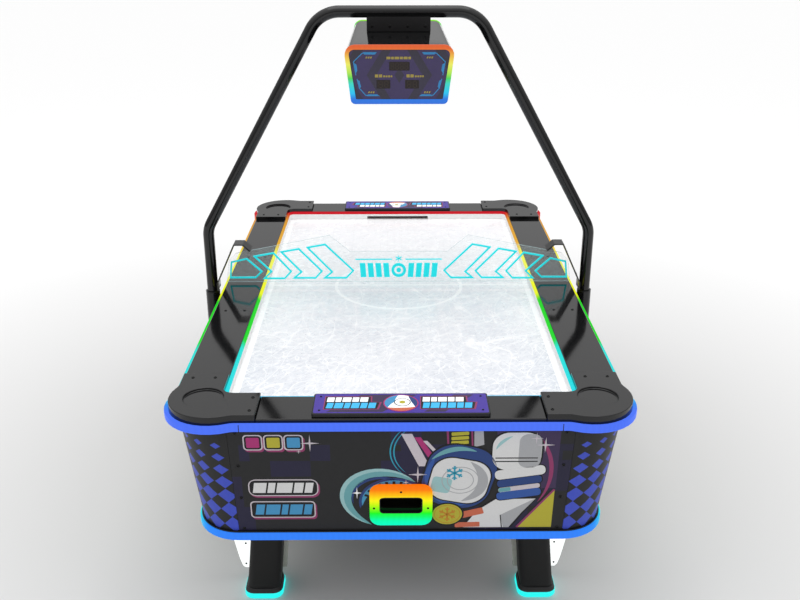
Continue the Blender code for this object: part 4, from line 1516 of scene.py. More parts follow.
@dataclass
class Rails:
    """The four black rails and the four raised corner blocks, with their screws."""

    fasteners: Fasteners
    edge: float = 0.0028
    side_screw_x: Point = (0.535, 0.600)
    side_screw_y: float = 0.280
    arm_screw_x: Point = (0.541, 0.606)
    arm_screw_y: float = 0.820
    end_screw_x: float = 0.414
    end_screw_y: Point = (0.945, 1.020)

    def build(self) -> Pieces:
        """Rails, corner blocks and both groups of screws."""
        names = [f"{part.label}_rail" for part in (*End, *Side)]
        made = [refined(name, Finishes.rail_black, self.edge) for name in names]
        for end, side in CORNERS:
            node = f"corner_block_{end.label}_{side.label}"
            made.append(refined(node, Finishes.rail_black, self.edge, 3))
        made.append(self._screws("rail_screws", SIZES.rail_top, self._rail_spots()))
        made.append(self._screws("corner_block_screws", SIZES.pad_top, self._block_spots()))
        return made

    def _rail_spots(self) -> list[Point]:
        """Two screws across each side rail, in front of and behind the brackets."""
        return [
            (sx * x, sy * self.side_screw_y) for sx in (-1, 1) for sy in (-1, 1) for x in self.side_screw_x
        ]

    def _block_spots(self) -> list[Point]:
        """Two screws at the end of each arm of the corner blocks."""
        spots = []
        for end, side in CORNERS:
            spots += [(side.value * x, end.value * self.arm_screw_y) for x in self.arm_screw_x]
            spots += [(side.value * self.end_screw_x, end.value * y) for y in self.end_screw_y]
        return spots

    def _screws(self, name: str, height: float, spots: Outline) -> Piece:
        """Screws that face up from one height."""
        top = level_plane(Vector((0, 0, height)))
        return self.fasteners.fit(name, on_plane(top, spots), ScrewKind.MEDIUM)


@dataclass
class LightBands:
    """The two lit bands round the table, and the dark joints in the upper one."""

    seam_x: float = 0.440
    seam_width: float = 0.0022

    def build(self) -> Pieces:
        """Both bands and the joints."""
        made = [
            refined("upper_light_band", Finishes.rim_light, 0.003),
            refined("lower_light_band", Finishes.lower_light, 0.003),
        ]
        solid = bmesh.new()
        low, high = SIZES.band_height
        for end in End:
            plane = facing(end, SIZES.half_length)
            for sign in (-1, 1):
                middle = (sign * self.seam_x, (low + high) / 2)
                outline = rounded(middle, (self.seam_width / 2, (high - low) / 2 - 0.001), 0.0008, 3)
                add_slab(solid, plane, outline, -0.006, 0.0004)
        made.append(solid_piece("upper_band_joints", solid, [Finishes.satin_black]))
        return made


@dataclass
class Playfield:
    """The playing surface with dark discs of painted shade for its air holes, and the lit wall round it."""

    half: Point = (0.465, 0.885)
    pitch: float = 0.030
    hole: float = 0.0008
    depth: float = 0.0004

    def build(self) -> Pieces:
        """Surface, wall and holes."""
        board = dress("playfield_board", Finishes.ice)
        wall = refined("playfield_wall_trim", Finishes.wall_light, 0.0008, 2)
        return [board, wall, self._holes()]

    def _holes(self) -> Piece:
        """Small dark discs on a square grid, grown by a node tree: painted shade standing for the open air
        holes.
        """
        tree = GeometryGraph("air_holes", {
            "Width": "NodeSocketFloat", "Length": "NodeSocketFloat", "Columns": "NodeSocketInt",
            "Rows": "NodeSocketInt", "Radius": "NodeSocketFloat", "Depth": "NodeSocketFloat",
            "Height": "NodeSocketFloat",
        })
        grid = tree.wire("GeometryNodeMeshGrid", {}, {
            "Size X": tree.given("Width"), "Size Y": tree.given("Length"),
            "Vertices X": tree.given("Columns"), "Vertices Y": tree.given("Rows"),
        })
        disc = tree.wire("GeometryNodeMeshCylinder", {}, {
            "Vertices": 8, "Radius": tree.given("Radius"), "Depth": tree.given("Depth"),
        })
        spread = tree.wire("GeometryNodeInstanceOnPoints", {}, {"Points": grid, "Instance": disc})
        lift = tree.wire("ShaderNodeCombineXYZ", {}, {2: tree.given("Height")})
        tree.close(tree.wire("GeometryNodeTransform", {}, {"Geometry": spread, "Translation": lift}))
        columns, rows = (round(2 * half / self.pitch) + 1 for half in self.half)
        mesh = tree.grow("playfield_air_holes", bpy.data.meshes.new("holes_start"), {
            "Width": 2 * self.half[0], "Length": 2 * self.half[1], "Columns": columns, "Rows": rows,
            "Radius": self.hole, "Depth": self.depth, "Height": SIZES.play_top - SIZES.gap,
            "Finish": Finishes.dark_hole.material(),
        })
        return settle("playfield_air_holes", mesh, "table")


@dataclass
class Cabinet:
    """Base board, flat panels, round corner panels, a black line of painted shadow at the foot, and the
    seam screws.
    """

    fasteners: Fasteners
    screw_in: float = 0.0160
    levels: Sequence[float] = (0.4150, 0.5290, 0.6430, 0.7560)
    # The black ring along the panels' foot is painted shadow, set where the gap above the lower band falls
    # into shade.
    bead_low: float = 0.0006
    bead_high: float = 0.0045
    bead_reach: Point = (0.0010, 0.0066)

    def build(self) -> Pieces:
        """All of the cabinet's outside, apart from its print."""
        made = [refined("base_board", Finishes.base_charcoal, 0.001)]
        for part in (*End, *Side):
            made.append(refined(f"{part.label}_panel", Finishes.panel, 0.0010, 2))
        for end, side in CORNERS:
            node = f"corner_panel_{end.label}_{side.label}"
            made.append(refined(node, Finishes.corner, 0.0008, 2))
        made += [self._bead(), self._screws()]
        return made

    def _bead(self) -> Piece:
        """A thin black ring on the lower band's ledge, along the foot of the panels: a painted shadow for
        the gap above the lower band.
        """
        flat = level_plane(Vector())
        half = (SIZES.cabinet_half_width, SIZES.cabinet_half_length)
        rings = [
            rounded((0, 0), (half[0] + reach, half[1] + reach), SIZES.cabinet_corner + reach, 16)
            for reach in self.bead_reach
        ]
        solid = bmesh.new()
        low = SIZES.panel_low + self.bead_low
        add_frame(solid, flat, rings[1], rings[0], low, SIZES.panel_low + self.bead_high)
        return solid_piece("cabinet_bead", solid, [Finishes.satin_black], sharp=40.0)

    def _screws(self) -> Piece:
        """A row of screws down both edges of every flat panel."""
        places = []
        for part in (*End, *Side):
            full = SIZES.cabinet_half_width if isinstance(part, End) else SIZES.cabinet_half_length
            reach = full - SIZES.cabinet_corner - self.screw_in
            spots = [(sign * reach, level) for sign in (-1, 1) for level in self.levels]
            places += on_plane(cabinet_face(part), spots)
        return self.fasteners.fit("cabinet_seam_screws", places, ScrewKind.MEDIUM)


@dataclass
class PuckReturns:
    """The lit bezels round the puck returns, with a dark lining and three screws each."""

    fasteners: Fasteners
    proud: float = 0.0140
    middle: float = 0.5055
    mouth: Point = (0.0617, 0.0297)
    spots: Outline = ((0.0, 0.5570), (-0.0770, 0.4980), (0.0770, 0.4980))

    def build(self) -> Pieces:
        """Both bezels, their chutes, linings and screws."""
        made = []
        places = []
        for end in End:
            made.append(
                refined(
                    f"return_bezel_{end.label}", Finishes.return_light, 0.0035, 4, sharp=40.0,
                )
            )
            made.append(dress(f"puck_chute_{end.label}", Finishes.chute))
            made.append(self._lining(end))
            places += on_plane(cabinet_face(end, self.proud), self.spots)
        made.append(self.fasteners.fit("return_bezel_screws", places, ScrewKind.SMALL))
        return made

    def _lining(self, end: End) -> Piece:
        """A thin black collar inside the bezel's mouth."""
        half = self.mouth
        outer = rounded((0.0, self.middle), (half[0] - 0.0002, half[1] - 0.0002), 0.0118, 8)
        inner = rounded((0.0, self.middle), (half[0] - 0.0028, half[1] - 0.0028), 0.0094, 8)
        solid = bmesh.new()
        add_frame(solid, cabinet_face(end, self.proud), outer, inner, -0.0125, -0.0030)
        return solid_piece(f"return_collar_{end.label}", solid, [Finishes.satin_black])


@dataclass
class Legs:
    """Four leaning legs with lit fins, glowing feet and levelling screws."""

    fasteners: Fasteners
    spots: Outline = ((0.511, 0.139), (0.514, 0.058), (0.548, 0.330))

    def build(self) -> Pieces:
        """Legs, fins, feet and the fins' screws."""
        made = []
        for end, side in CORNERS:
            corner = f"{end.label}_{side.label}"
            made.append(refined(f"leg_{corner}", Finishes.leg_charcoal, 0.0015))
            made.append(refined(f"leg_fin_{corner}", Finishes.fin, 0.0015))
            made.append(refined(f"foot_base_{corner}", Finishes.foot, 0.0012, 2, sharp=40.0))
            made.append(dress(f"levelling_foot_{corner}", Finishes.zinc))
        made.append(self._screws())
        return made

    def _screws(self) -> Piece:
        """Three screws on the outward face of each fin, beside the leg."""
        places = []
        for end, side in CORNERS:
            low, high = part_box(f"leg_fin_{end.label}_{side.label}")
            face = high.y if end is End.REAR else low.y
            for x, z in self.spots:
                places.append((Vector((side.value * x, face, z)), Vector((0, end.value, 0))))
        return self.fasteners.fit("leg_fin_screws", places, ScrewKind.SMALL)


@dataclass
class Arch:
    """The tube that carries the scoreboard, its two sleeves and the hanger."""

    fasteners: Fasteners
    radius: float = 0.020
    post_x: float = 0.695
    foot_z: float = 0.5503
    knee: Point = (0.695, 1.008)
    knee_radius: float = 0.100
    shoulder: Point = (0.2645, 1.768)
    shoulder_radius: float = 0.113
    collar_z: float = 0.765
    collar_radius: float = 0.0258
    bolt_y: Point = (-0.055, 0.055)
    bolt_z: Sequence[float] = (0.520, 0.600, 0.680)
    hanger_bolt_x: Sequence[float] = (-0.090, -0.030, 0.030, 0.090)
    hanger_bolt_z: float = 1.722
    hanger_half: float = 0.014

    def build(self) -> Pieces:
        """Tube, sleeves, collars, hanger and screws."""
        made = [self._tube()]
        for side in Side:
            made.append(
                refined(
                    f"post_sleeve_{side.label}", Finishes.arch_black, 0.0012, 2, sharp=40.0,
                )
            )
        made.append(self._collars())
        made.append(refined("scoreboard_hanger", Finishes.satin_black, 0.0015))
        made.append(self._screws())
        return made

    def _bend(self, before: Point, corner: Point, after: Point, radius: float, steps: int) -> list[Point]:
        """Points of the arc that rounds one corner of the tube.

        Args:
            before: The point before the corner.
            corner: The sharp corner.
            after: The point after it.
            radius: The arc's radius.
            steps: How many chords it has.

        Returns:
            The arc's points.
        """
        tip = Vector(corner)
        arrive = (tip - Vector(before)).normalized()
        leave = (Vector(after) - tip).normalized()
        turn = arrive.angle(leave)
        centre = tip + (leave - arrive).normalized() * (radius / cos(turn / 2))
        start = tip - arrive * (radius * tan(turn / 2)) - centre
        return [
            tuple(
                centre + start * cos(turn * i / steps) + arrive * radius * sin(turn * i / steps)
            ) for i in range(steps + 1)
        ]

    def _tube(self) -> Piece:
        """The bent tube, swept along its path by a node tree."""
        right = [(self.post_x, self.foot_z)]
        right += self._bend(right[0], self.knee, self.shoulder, self.knee_radius, 12)
        right += self._bend(self.knee, self.shoulder, (0.0, self.shoulder[1]), self.shoulder_radius, 20)
        path = right + [(-x, z) for x, z in reversed(right)]
        line = bpy.data.meshes.new("arch_path")
        line.from_pydata([(x, 0.0, z) for x, z in path], [(i, i + 1) for i in range(len(path) - 1)], [])
        tree = GeometryGraph("swept_tube", {"Radius": "NodeSocketFloat", "Sides": "NodeSocketInt"})
        curve = tree.wire("GeometryNodeMeshToCurve", {}, {0: tree.given("Geometry")})
        ring = tree.wire("GeometryNodeCurvePrimitiveCircle", {}, {
            "Resolution": tree.given("Sides"), "Radius": tree.given("Radius"),
        })
        tree.close(
            tree.wire(
                "GeometryNodeCurveToMesh", {}, {"Curve": curve, "Profile Curve": ring, "Fill Caps": True},
            )
        )
        values = {"Radius": self.radius - 0.00005, "Sides": 40, "Finish": Finishes.arch_black.material()}
        piece = settle("arch_tube_body", tree.grow("arch_tube_body", line, values), "table")
        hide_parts("arch_tube")
        return piece

    def _collars(self) -> Piece:
        """A low trim ring where the tube leaves each sleeve."""
        solid = bmesh.new()
        for side in Side:
            top = level_plane(Vector((side.value * self.post_x, 0, self.collar_z)))
            outer = oval((0, 0), (self.collar_radius, self.collar_radius), 40)
            inner = oval((0, 0), (self.radius + 0.0003,) * 2, 40)
            add_frame(solid, top, outer, inner, 0.0001, 0.0030)
        return solid_piece("post_collars", solid, [Finishes.satin_black], sharp=40.0)

    def _screws(self) -> Piece:
        """Flange bolts on the sleeves' plates and grub screws on the hanger."""
        places = []
        for side in Side:
            plane = cabinet_face(side, SIZES.gap + 0.010)
            places += on_plane(plane, [(u, z) for u in self.bolt_y for z in self.bolt_z])
        for end in End:
            places += on_plane(
                facing(end, self.hanger_half), [(x, self.hanger_bolt_z) for x in self.hanger_bolt_x],
            )
        return self.fasteners.fit("arch_bolts", places, ScrewKind.MEDIUM)


@dataclass
class Scoreboard:
    """The hanging display: a black housing with a lit bezel and a display face at each end."""

    fasteners: Fasteners
    face: float = 0.380
    underside: float = 1.530
    screw_x: Point = (-0.110, 0.110)
    screw_y: Sequence[float] = (-0.340, -0.115, 0.115, 0.340)

    def build(self) -> Pieces:
        """Housing, bezels, faces, their print and the housing's screws."""
        lights = {End.FRONT: Finishes.score_front_light, End.REAR: Finishes.score_rear_light}
        made = [refined("scoreboard_housing", Finishes.rail_black, 0.0012, 2)]
        for end in End:
            made.append(refined(f"scoreboard_bezel_{end.label}", lights[end], 0.003))
            made.append(
                refined(f"scoreboard_face_{end.label}", Finishes.score_glass, 0.0008, 2)
            )
            made.append(self._display(end))
        made.append(self._screws())
        return made

    def _display(self, end: End) -> Piece:
        """Corner brackets, label bars, three dark windows and their unlit digits."""
        art = Print(f"scoreboard_print_{end.label}", facing(end, self.face))
        for sign in (-1, 1):
            upper = [
                (sign * 0.100, 1.6805), (sign * 0.112, 1.6805), (sign * 0.139, 1.6550),
                (sign * 0.132, 1.6150),
            ]
            lower = [
                (sign * 0.129, 1.6040), (sign * 0.122, 1.5760), (sign * 0.103, 1.5545),
                (sign * 0.092, 1.5545),
            ]
            art.line(upper, 0.0028, Inks.bracket, 2)
            art.line(lower, 0.0028, Inks.bracket, 2)
            shapes = (
                [(0.068, 1.6835), (0.110, 1.6835), (0.106, 1.6765), (0.074, 1.6765)],
                [(0.139, 1.6520), (0.1335, 1.6190), (0.1275, 1.6290), (0.1300, 1.6470)],
                [(0.130, 1.6020), (0.123, 1.5740), (0.1170, 1.5800), (0.1210, 1.5980)],
                [(0.060, 1.5520), (0.100, 1.5520), (0.096, 1.5575), (0.068, 1.5575)],
            )
            for outline in shapes:
                art.shape([(sign * u, v) for u, v in outline], Inks.bracket, 3)
            for u, v in ((0.082, 1.6650), (0.075, 1.5610)):
                start = u if sign > 0 else -u - 0.021
                art.bars(start, v, v + 0.0055, (0.0045, 0.0045, 0.0045), 0.0025, 0.002, Inks.amber, 4)
        art.bars(
            -0.0390, 1.6625, 1.6700, (0.012, 0.008, 0.014, 0.009, 0.012, 0.008), 0.0022, 0.0, Inks.amber, 4,
        )
        for left in (-0.0745, 0.0215):
            art.bars(left, 1.6085, 1.6175, (0.010, 0.010), 0.0022, 0.0, Inks.amber, 4)
            art.bars(
                left + 0.0255, 1.6090, 1.6145, (0.006, 0.005, 0.006, 0.005), 0.0018, 0.0, Inks.amber, 4,
            )
        windows = (
            (0.0, 1.6420, 0.031, 0.0130, 4), (-0.0485, 1.5880, 0.021, 0.0130, 2),
            (0.0385, 1.5880, 0.021, 0.0130, 2),
        )
        for u, v, half_w, half_h, count in windows:
            art.shape(rounded((u, v), (half_w, half_h), 0.0018), Inks.window, 2)
            pitch = 2 * half_w / (count + 0.4)
            for i in range(count):
                self._digit(art, (u + (i - (count - 1) / 2) * pitch, v), (pitch * 0.30, half_h * 0.72))
        return art.done()

    @staticmethod
    def _digit(art: Print, centre: Point, half: Point) -> None:
        """The seven unlit segments of one digit."""
        w, h = half
        thick = 0.0016
        for dv in (-h, 0.0, h):
            art.line([
                (centre[0] - w * 0.7, centre[1] + dv), (centre[0] + w * 0.7, centre[1] + dv),
            ], thick, Inks.ghost, 3)
        for du in (-w, w):
            for dv in (-h / 2, h / 2):
                low, high = centre[1] + dv - h * 0.36, centre[1] + dv + h * 0.36
                art.line([(centre[0] + du, low), (centre[0] + du, high)], thick, Inks.ghost, 3)

    def _screws(self) -> Piece:
        """Small screws under the housing, near both bezels and at the middle."""
        under = Plane(Vector((0, 0, self.underside)), Vector((1, 0, 0)), Vector((0, -1, 0)))
        spots = [(u, v) for u in self.screw_x for v in self.screw_y]
        return self.fasteners.fit("scoreboard_screws", on_plane(under, spots), ScrewKind.SMALL)


@dataclass
class Divider:
    """The clear pane across the middle, with its glowing chevrons and its two brackets."""

    fasteners: Fasteners
    line: float = 0.0054
    half_depth: float = 0.0034
    base: float = 0.800
    disc_rise: float = 0.0455
    disc_radii: Sequence[float] = (0.0270, 0.0170, 0.0085)
    bar_first: float = 0.0435
    bar_pitch: float = 0.0290
    bar_width: float = 0.0205
    bracket_foot: Point = (0.6718, 0.803)
    bracket_head: Point = (0.602, 0.9525)

    def build(self) -> Pieces:
        """Pane, edge, glow lines, brackets and screws."""
        made = [self._pane(), self._lines()]
        for side in Side:
            made.append(
                refined(
                    f"divider_bracket_{side.label}", Finishes.arch_black, 0.0012, 2,
                    sharp=20.0,
                )
            )
        made.append(self._screws())
        return made

    def _pane(self) -> Piece:
        """The pane, nearly clear on its faces and pale along its edges."""
        pane = refined("divider_panel", Finishes.pane, 0.0)
        pane.data.materials.append(Finishes.pane_edge.material())
        for polygon in pane.data.polygons:
            if abs(polygon.normal.y) < 0.5:
                polygon.material_index = 1
        return pane

    def _lines(self) -> Piece:
        """Chevron outlines, slanted bars and a disc, which show through both faces."""
        shapes = (
            ((0.621, 0.080), (0.561, 0.094), (0.505, 0.041), (0.531, 0.0145), (0.629, 0.0145)),
            (
                (0.538, 0.102), (0.461, 0.116), (0.396, 0.041), (0.423, 0.0110), (0.506, 0.0110),
                (0.476, 0.041),
            ),
            (
                (0.438, 0.119), (0.367, 0.132), (0.282, 0.042), (0.308, 0.0125), (0.396, 0.0125),
                (0.365, 0.039),
            ),
            (
                (0.341, 0.136), (0.270, 0.149), (0.165, 0.044), (0.194, 0.0125), (0.282, 0.0125),
                (0.251, 0.039),
            ),
        )
        art = Print("divider_glow_lines", facing(End.FRONT, 0.0))
        for shape in shapes:
            for sign in (-1, 1):
                self._loop(art, [(sign * u, self.base + v) for u, v in shape])
        for sign in (-1, 1):
            for i in range(4):
                self._bar(art, sign * (self.bar_first + i * self.bar_pitch), self.bar_width)
        centre = (0.0, self.base + self.disc_rise)
        outer, inner, core = self.disc_radii
        ring, hole = oval(centre, (outer, outer), 32), oval(centre, (inner, inner), 32)
        add_frame(art.solid, art.plane, ring, hole, -self.half_depth, self.half_depth)
        self._plate(art, oval(centre, (core, core), 20))
        return self._finish(art)

    def _bar(self, art: Print, middle: float, width: float) -> None:
        """One slanted solid bar of the middle block, leaning away from the disc."""
        low, high = self.base + 0.0185, self.base + 0.0725
        lean = 0.004 if middle > 0 else -0.004
        left, right = middle - width / 2, middle + width / 2
        self._plate(art, [(left, low), (right, low), (right + lean, high), (left + lean, high)])

    def _loop(self, art: Print, points: Outline) -> None:
        """A closed outline of even line width, as a plate with a hole."""
        ordered = list(points) if area_of(points) > 0 else list(points)[::-1]
        inner = inset_outline(ordered, self.line)
        add_frame(art.solid, art.plane, ordered, inner, -self.half_depth, self.half_depth)

    def _plate(self, art: Print, points: Outline) -> None:
        """A solid shape right through the pane."""
        add_slab(art.solid, art.plane, points, -self.half_depth, self.half_depth)

    def _finish(self, art: Print) -> Piece:
        """Adds the thin lines and the small snowflake over the block, and ends the piece."""
        for sign in (-1, 1):
            self._plate(
                art, stroke([(sign * 0.025, self.base + 0.088), (sign * 0.160, self.base + 0.088)], 0.0026),
            )
        for i in range(3):
            a = pi / 6 + i * pi / 3
            du, dv = 0.0125 * cos(a), 0.0125 * sin(a)
            self._plate(art, stroke([(-du, self.base + 0.091 - dv), (du, self.base + 0.091 + dv)], 0.0024))
        return solid_piece(art.name, art.solid, [Finishes.pane_glow], sharp=20.0)

    def _screws(self) -> Piece:
        """Two screws on the outer foot of each bracket and two on its slope."""
        places = []
        foot, head = Vector(self.bracket_foot), Vector(self.bracket_head)
        for side in Side:
            s = side.value
            slope = Vector((s * (head.y - foot.y), 0, foot.x - head.x)).normalized()
            for share in (0.22, 0.80):
                x, z = foot.lerp(head, share)
                places += [(Vector((s * x, y, z)) + slope * 0.0024, slope) for y in (-0.017, 0.017)]
        return self.fasteners.fit("divider_bracket_screws", places, ScrewKind.SMALL, Finishes.zinc)


def inset_outline(points: Outline, width: float) -> list[Point]:
    """An outline moved inwards by an even width.

    Args:
        points: The outline, anticlockwise.
        width: How far it moves.

    Returns:
        As many points, inside the outline.
    """
    count = len(points)
    moved = []
    for i in range(count):
        here = Vector(points[i])
        before = (here - Vector(points[i - 1])).normalized()
        after = (Vector(points[(i + 1) % count]) - here).normalized()
        first = Vector((-before.y, before.x))
        second = Vector((-after.y, after.x))
        mean = first + second
        moved.append(tuple(here + mean * (width / max(0.25, 1 + first.dot(second)))))
    return moved


@dataclass
class Signs:
    """The printed plates on the two end rails."""

    fasteners: Fasteners
    middle: float = 0.980
    top: float = 0.8120
    spots: Point = (0.224, 0.040)

    def build(self) -> Pieces:
        """Plates, print and screws."""
        made = []
        places = []
        for end in End:
            made.append(refined(f"sign_plate_{end.label}", Finishes.satin_black, 0.0022, 3))
            origin = Vector((0, end.value * self.middle, self.top))
            plane = Plane(origin, Vector((-end.value, 0, 0)), Vector((0, -end.value, 0)))
            made.append(self._print(end, plane))
            places += on_plane(plane, [
                (a * self.spots[0], b * self.spots[1]) for a in (-1, 1) for b in (-1, 1)
            ], 0.0004)
        made.append(self.fasteners.fit("sign_screws", places, ScrewKind.SMALL))
        return made

    def _print(self, end: End, plane: Plane) -> Piece:
        """A violet field, white and blue slanted bars, and a puck medallion in the middle."""
        art = Print(f"sign_print_{end.label}", plane)
        art.shape(rounded((0, 0), (0.2395, 0.0555), 0.006), Inks.violet, 1)
        art.shape([(-0.205, -0.0500), (-0.112, 0.0500), (0.046, 0.0500), (-0.050, -0.0500)], Inks.plum, 2)
        art.shape([(0.062, -0.0500), (0.150, 0.0500), (0.205, 0.0500), (0.120, -0.0500)], Inks.plum, 2)
        for left in (-0.214, 0.052):
            art.shape([
                (left, -0.036), (left + 0.153, -0.036), (left + 0.161, 0.006), (left + 0.134, 0.008),
                (left + 0.134, 0.041), (left + 0.002, 0.041),
            ], Inks.magenta, 3)
            art.shape([
                (left + 0.003, -0.033), (left + 0.148, -0.033), (left + 0.155, 0.004),
                (left + 0.130, 0.006), (left + 0.130, 0.038), (left + 0.005, 0.038),
            ], Inks.coal, 4)
            art.bars(
                left + 0.008, 0.008, 0.034, (0.020, 0.016, 0.024, 0.018, 0.022), 0.0035, 0.002, Inks.bright,
                5,
            )
            art.bars(
                left + 0.007, -0.029, 0.002, (0.018, 0.024, 0.016, 0.022, 0.018, 0.020), 0.0035, 0.004,
                Inks.cyan, 5,
            )
        art.disc((0.0, 0.0), (0.049, 0.049), Inks.pink, 6)
        art.disc((0.0, 0.0), (0.0455, 0.0455), Inks.bright, 7)
        art.shape(crescent((0.0, 0.0), (0.0455, 0.0455), 0.0, 100.0, 215.0, 0.026), Inks.sky, 8)
        art.shape(crescent((0.0, 0.0), (0.0455, 0.0455), 0.0, 215.0, 330.0, 0.018), Inks.coral, 8)
        art.shape(crescent((0.0, 0.0), (0.0455, 0.0455), 0.0, -30.0, 62.0, 0.016), Inks.navy, 8)
        art.disc((0.004, 0.004), (0.0230, 0.0230), Inks.coal, 9)
        art.disc((0.004, 0.004), (0.0205, 0.0205), Inks.bright, 10)
        art.disc((0.004, 0.004), (0.0085, 0.0085), Inks.yellow, 11)
        return art.done()


@dataclass
class AirSupply:
    """The plenum, the blower and the guard under its intake."""

    rings: int = 6
    wire: float = 0.0014
    reach: float = 0.094
    height: float = 0.3835

    def build(self) -> Pieces:
        """The hidden parts in their finishes, and the guard."""
        made = [
            dress("air_plenum", Finishes.board), dress("blower_housing", Finishes.steel),
            dress("blower_motor", Finishes.casing), dress("blower_impeller", Finishes.satin_black),
        ]
        made.append(self._guard())
        return made

    def _guard(self) -> Piece:
        """Rings of wire, spread from the centre by a node tree."""
        tree = GeometryGraph("guard_rings", {
            "Rings": "NodeSocketInt", "Reach": "NodeSocketFloat", "Wire": "NodeSocketFloat",
            "Height": "NodeSocketFloat",
        })
        line = tree.wire(
            "GeometryNodeMeshLine", {}, {"Count": tree.given("Rings"), "Offset": (0.0, 0.0, 0.0)},
        )
        order = tree.wire("GeometryNodeInputIndex", {}, {})
        size = (order + 1.0) / tree.given("Rings") * tree.given("Reach")
        circle = tree.wire("GeometryNodeCurvePrimitiveCircle", {}, {"Resolution": 40, "Radius": 1.0})
        spread = tree.wire(
            "GeometryNodeInstanceOnPoints", {}, {"Points": line, "Instance": circle, "Scale": size},
        )
        real = tree.wire("GeometryNodeRealizeInstances", {}, {0: spread})
        section = tree.wire(
            "GeometryNodeCurvePrimitiveCircle", {}, {"Resolution": 6, "Radius": tree.given("Wire")},
        )
        swept = tree.wire("GeometryNodeCurveToMesh", {}, {"Curve": real, "Profile Curve": section})
        lift = tree.wire("ShaderNodeCombineXYZ", {}, {2: tree.given("Height")})
        tree.close(tree.wire("GeometryNodeTransform", {}, {"Geometry": swept, "Translation": lift}))
        mesh = tree.grow("intake_guard", bpy.data.meshes.new("guard_start"), {
            "Rings": self.rings, "Reach": self.reach, "Wire": self.wire, "Height": self.height,
            "Finish": Finishes.screw_black.material(),
        })
        return settle("intake_guard", mesh, "table")


@dataclass
class ServiceDoor:
    """The door in the left side, its butt hinges and its cam lock."""

    fasteners: Fasteners
    hinge_y: float = 0.300
    middle: float = 0.585
    knuckle: float = 0.0030
    knuckle_step: float = 0.012
    leaf_half: float = 0.024
    leaf_span: Point = (0.0034, 0.0210)
    levels: Sequence[float] = (0.505, 0.665)
    lock: Point = (0.638, 0.585)

    def build(self) -> Pieces:
        """Door, hinge leaves, lock and screws."""
        made = [refined("service_door", Finishes.panel, 0.0012, 2, "door")]
        made += [self._leaf("table", -1), self._leaf("door", 1), self._lock()]
        plane = cabinet_face(Side.LEFT)
        for body, sign in (("table", 1), ("door", -1)):
            spots = [
                (
                    -self.hinge_y + sign * 0.013, level + dz,
                ) for level in self.levels for dz in (-0.012, 0.012)
            ]
            places = on_plane(plane, spots, 0.0012)
            made.append(
                self.fasteners.fit(
                    f"hinge_screws_{body}", places, ScrewKind.SMALL, Finishes.zinc, "zinc_foot", body,
                )
            )
        return made

    def _leaf(self, body: str, sign: int) -> Piece:
        """One leaf of both hinges, with its share of the knuckles.

        Args:
            body: The body it rides on.
            sign: 1 on the door's side of the pin, -1 on the panel's.

        Returns:
            The piece.
        """
        plane = cabinet_face(Side.LEFT)
        along = plane.up.normalized()
        pin = Plane(
            plane.at(-self.hinge_y, self.middle) + Vector((-0.001, 0, 0)), along.cross(plane.across),
            -plane.across,
        )
        solid = bmesh.new()
        for level in self.levels:
            near, far = (-self.hinge_y - sign * reach for reach in self.leaf_span)
            low, high = level - self.leaf_half, level + self.leaf_half
            add_slab(solid, plane, [(near, low), (far, low), (far, high), (near, high)], 0.0002, 0.0012)
            for i in range(4):
                if (i % 2 == 0) == (sign > 0):
                    start = (level - self.middle) / along.z - self.leaf_half + i * self.knuckle_step
                    low, high = start + SIZES.gap, start + self.knuckle_step - SIZES.gap
                    full, slim = self.knuckle, self.knuckle - 0.0004
                    profile = ((slim, low), (full, low + 0.0004), (full, high - 0.0004), (slim, high))
                    add_turned(solid, pin, (0.0, 0.0), profile, 20)
        return solid_piece(f"hinge_leaf_{body}", solid, [Finishes.steel], body, 40.0)

    def _lock(self) -> Piece:
        """A round cam lock, with a dark plate of painted shade for its key slot."""
        plane = cabinet_face(Side.LEFT)
        centre = (-self.lock[0], self.lock[1])
        solid = bmesh.new()
        add_turned(solid, plane, centre, (
            (0.0110, -0.0004), (0.0110, 0.0022), (0.0098, 0.0032), (0.0072, 0.0034), (0.0068, 0.0026),
        ), 32)
        add_slab(solid, plane, rounded(centre, (0.0007, 0.0042), 0.0006, 3), 0.0020, 0.0028, 1)
        return solid_piece(
            "service_door_lock", solid, [Finishes.zinc, Finishes.dark_hole], "door", 40.0,
        )


# Studio

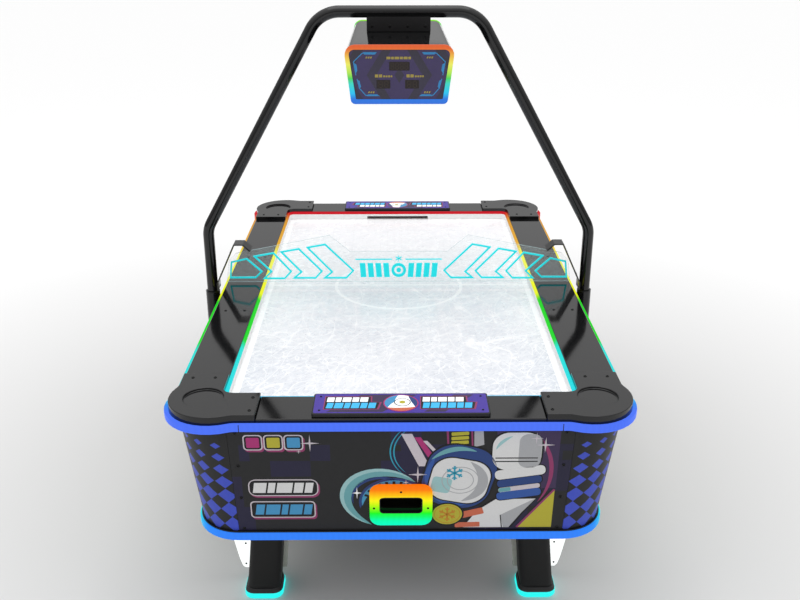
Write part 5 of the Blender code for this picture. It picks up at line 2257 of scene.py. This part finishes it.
@dataclass
class Studio:
    """The pale floor, the soft light and the camera."""

    eye: Triple = (-0.02, -3.30, 2.0556)
    tilt: Triple = (68.04, 0.0, -0.43)
    lens: float = 42.525
    floor_half: float = 90.0
    horizon: float = 0.26
    zenith: float = 1.60

    def build(self) -> None:
        """Sets the whole studio up."""
        scene = bpy.context.scene
        scene.view_settings.view_transform = "Standard"
        self._camera(scene)
        self._sky(scene)
        self._floor()
        self._lamp("overhead_softbox", (0.0, -0.2, 6.0), (0.0, 0.0, 0.0), 4.0, 60.0)

    def _camera(self, scene: bpy.types.Scene) -> None:
        """The camera, level with a person standing at the front end."""
        data = bpy.data.cameras.new("camera")
        data.lens = self.lens
        camera = bpy.data.objects.new("camera", data)
        camera.location = self.eye
        camera.rotation_euler = [radians(angle) for angle in self.tilt]
        scene.collection.objects.link(camera)
        scene.camera = camera

    def _sky(self, scene: bpy.types.Scene) -> None:
        """White light that grows from the horizon to straight above."""
        world = bpy.data.worlds.new("studio_sky")
        world.use_nodes = True
        graph = NodeGraph(world.node_tree)
        graph.tree.nodes.clear()
        way = graph.wire("ShaderNodeTexCoord", {}, {}, "Generated")
        height = Wire(graph, graph.node("ShaderNodeSeparateXYZ", {}, {0: way}).outputs["Z"]).at_least(0.0)
        strength = self.horizon + height * (self.zenith - self.horizon)
        light = graph.wire("ShaderNodeBackground", {}, {"Color": (1.0, 1.0, 1.0), "Strength": strength})
        paper = graph.wire("ShaderNodeBackground", {}, {"Color": (1.0, 1.0, 1.0), "Strength": 1.0})
        seen = graph.wire("ShaderNodeLightPath", {}, {}, "Is Camera Ray")
        shown = graph.wire("ShaderNodeMixShader", {}, {0: seen, 1: light, 2: paper})
        graph.node("ShaderNodeOutputWorld", {}, {"Surface": shown})
        scene.world = world

    def _floor(self) -> None:
        """A very large pale floor."""
        half = self.floor_half
        mesh = bpy.data.meshes.new("studio_floor")
        mesh.from_pydata([
            (-half, -half, 0), (half, -half, 0), (half, half, 0), (-half, half, 0),
        ], [], [(0, 1, 2, 3)])
        mesh.materials.append(Finishes.floor.material())
        floor = bpy.data.objects.new("studio_floor", mesh)
        bpy.context.scene.collection.objects.link(floor)

    def _lamp(self, name: str, place: Triple, turn: Triple, size: float, power: float) -> None:
        """One soft square light.

        Args:
            name: The lamp's name.
            place: Where it hangs.
            turn: How it is turned, in degrees; untouched it shines down.
            size: Its side.
            power: Its power in watts.
        """
        data = bpy.data.lights.new(name, "AREA")
        data.shape = "SQUARE"
        data.size = size
        data.energy = power
        lamp = bpy.data.objects.new(name, data)
        lamp.location = place
        lamp.rotation_euler = [radians(angle) for angle in turn]
        bpy.context.scene.collection.objects.link(lamp)


def panel_prints() -> list[PanelArt]:
    """The print of all four flat panels, placed clear of the sleeves and the door."""
    return [
        PanelArt("front_print", cabinet_face(End.FRONT)),
        PanelArt("rear_print", cabinet_face(End.REAR)),
        PanelArt("left_print", cabinet_face(Side.LEFT), 1.045, None, 0.130),
        PanelArt("right_print", cabinet_face(Side.RIGHT), -0.380, None, 0.180),
    ]


def main() -> None:
    """Builds every sub-assembly in order and reports its pieces."""
    logging.basicConfig(level=logging.INFO, format="%(message)s")
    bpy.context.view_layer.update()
    fasteners = Fasteners()
    Studio().build()
    parts = [
        Rails(fasteners), LightBands(), Playfield(), Cabinet(fasteners), *panel_prints(),
        PuckReturns(fasteners), Legs(fasteners), Arch(fasteners), Scoreboard(fasteners),
        Divider(fasteners), Signs(fasteners), AirSupply(), ServiceDoor(fasteners),
    ]
    for part in parts:
        for piece in part.build():
            LOG.info("%s: %s, %d faces", type(part).__name__, piece.name, len(piece.data.polygons))
    bpy.data.objects.remove(fasteners.head)


if __name__ == "__main__":
    main()
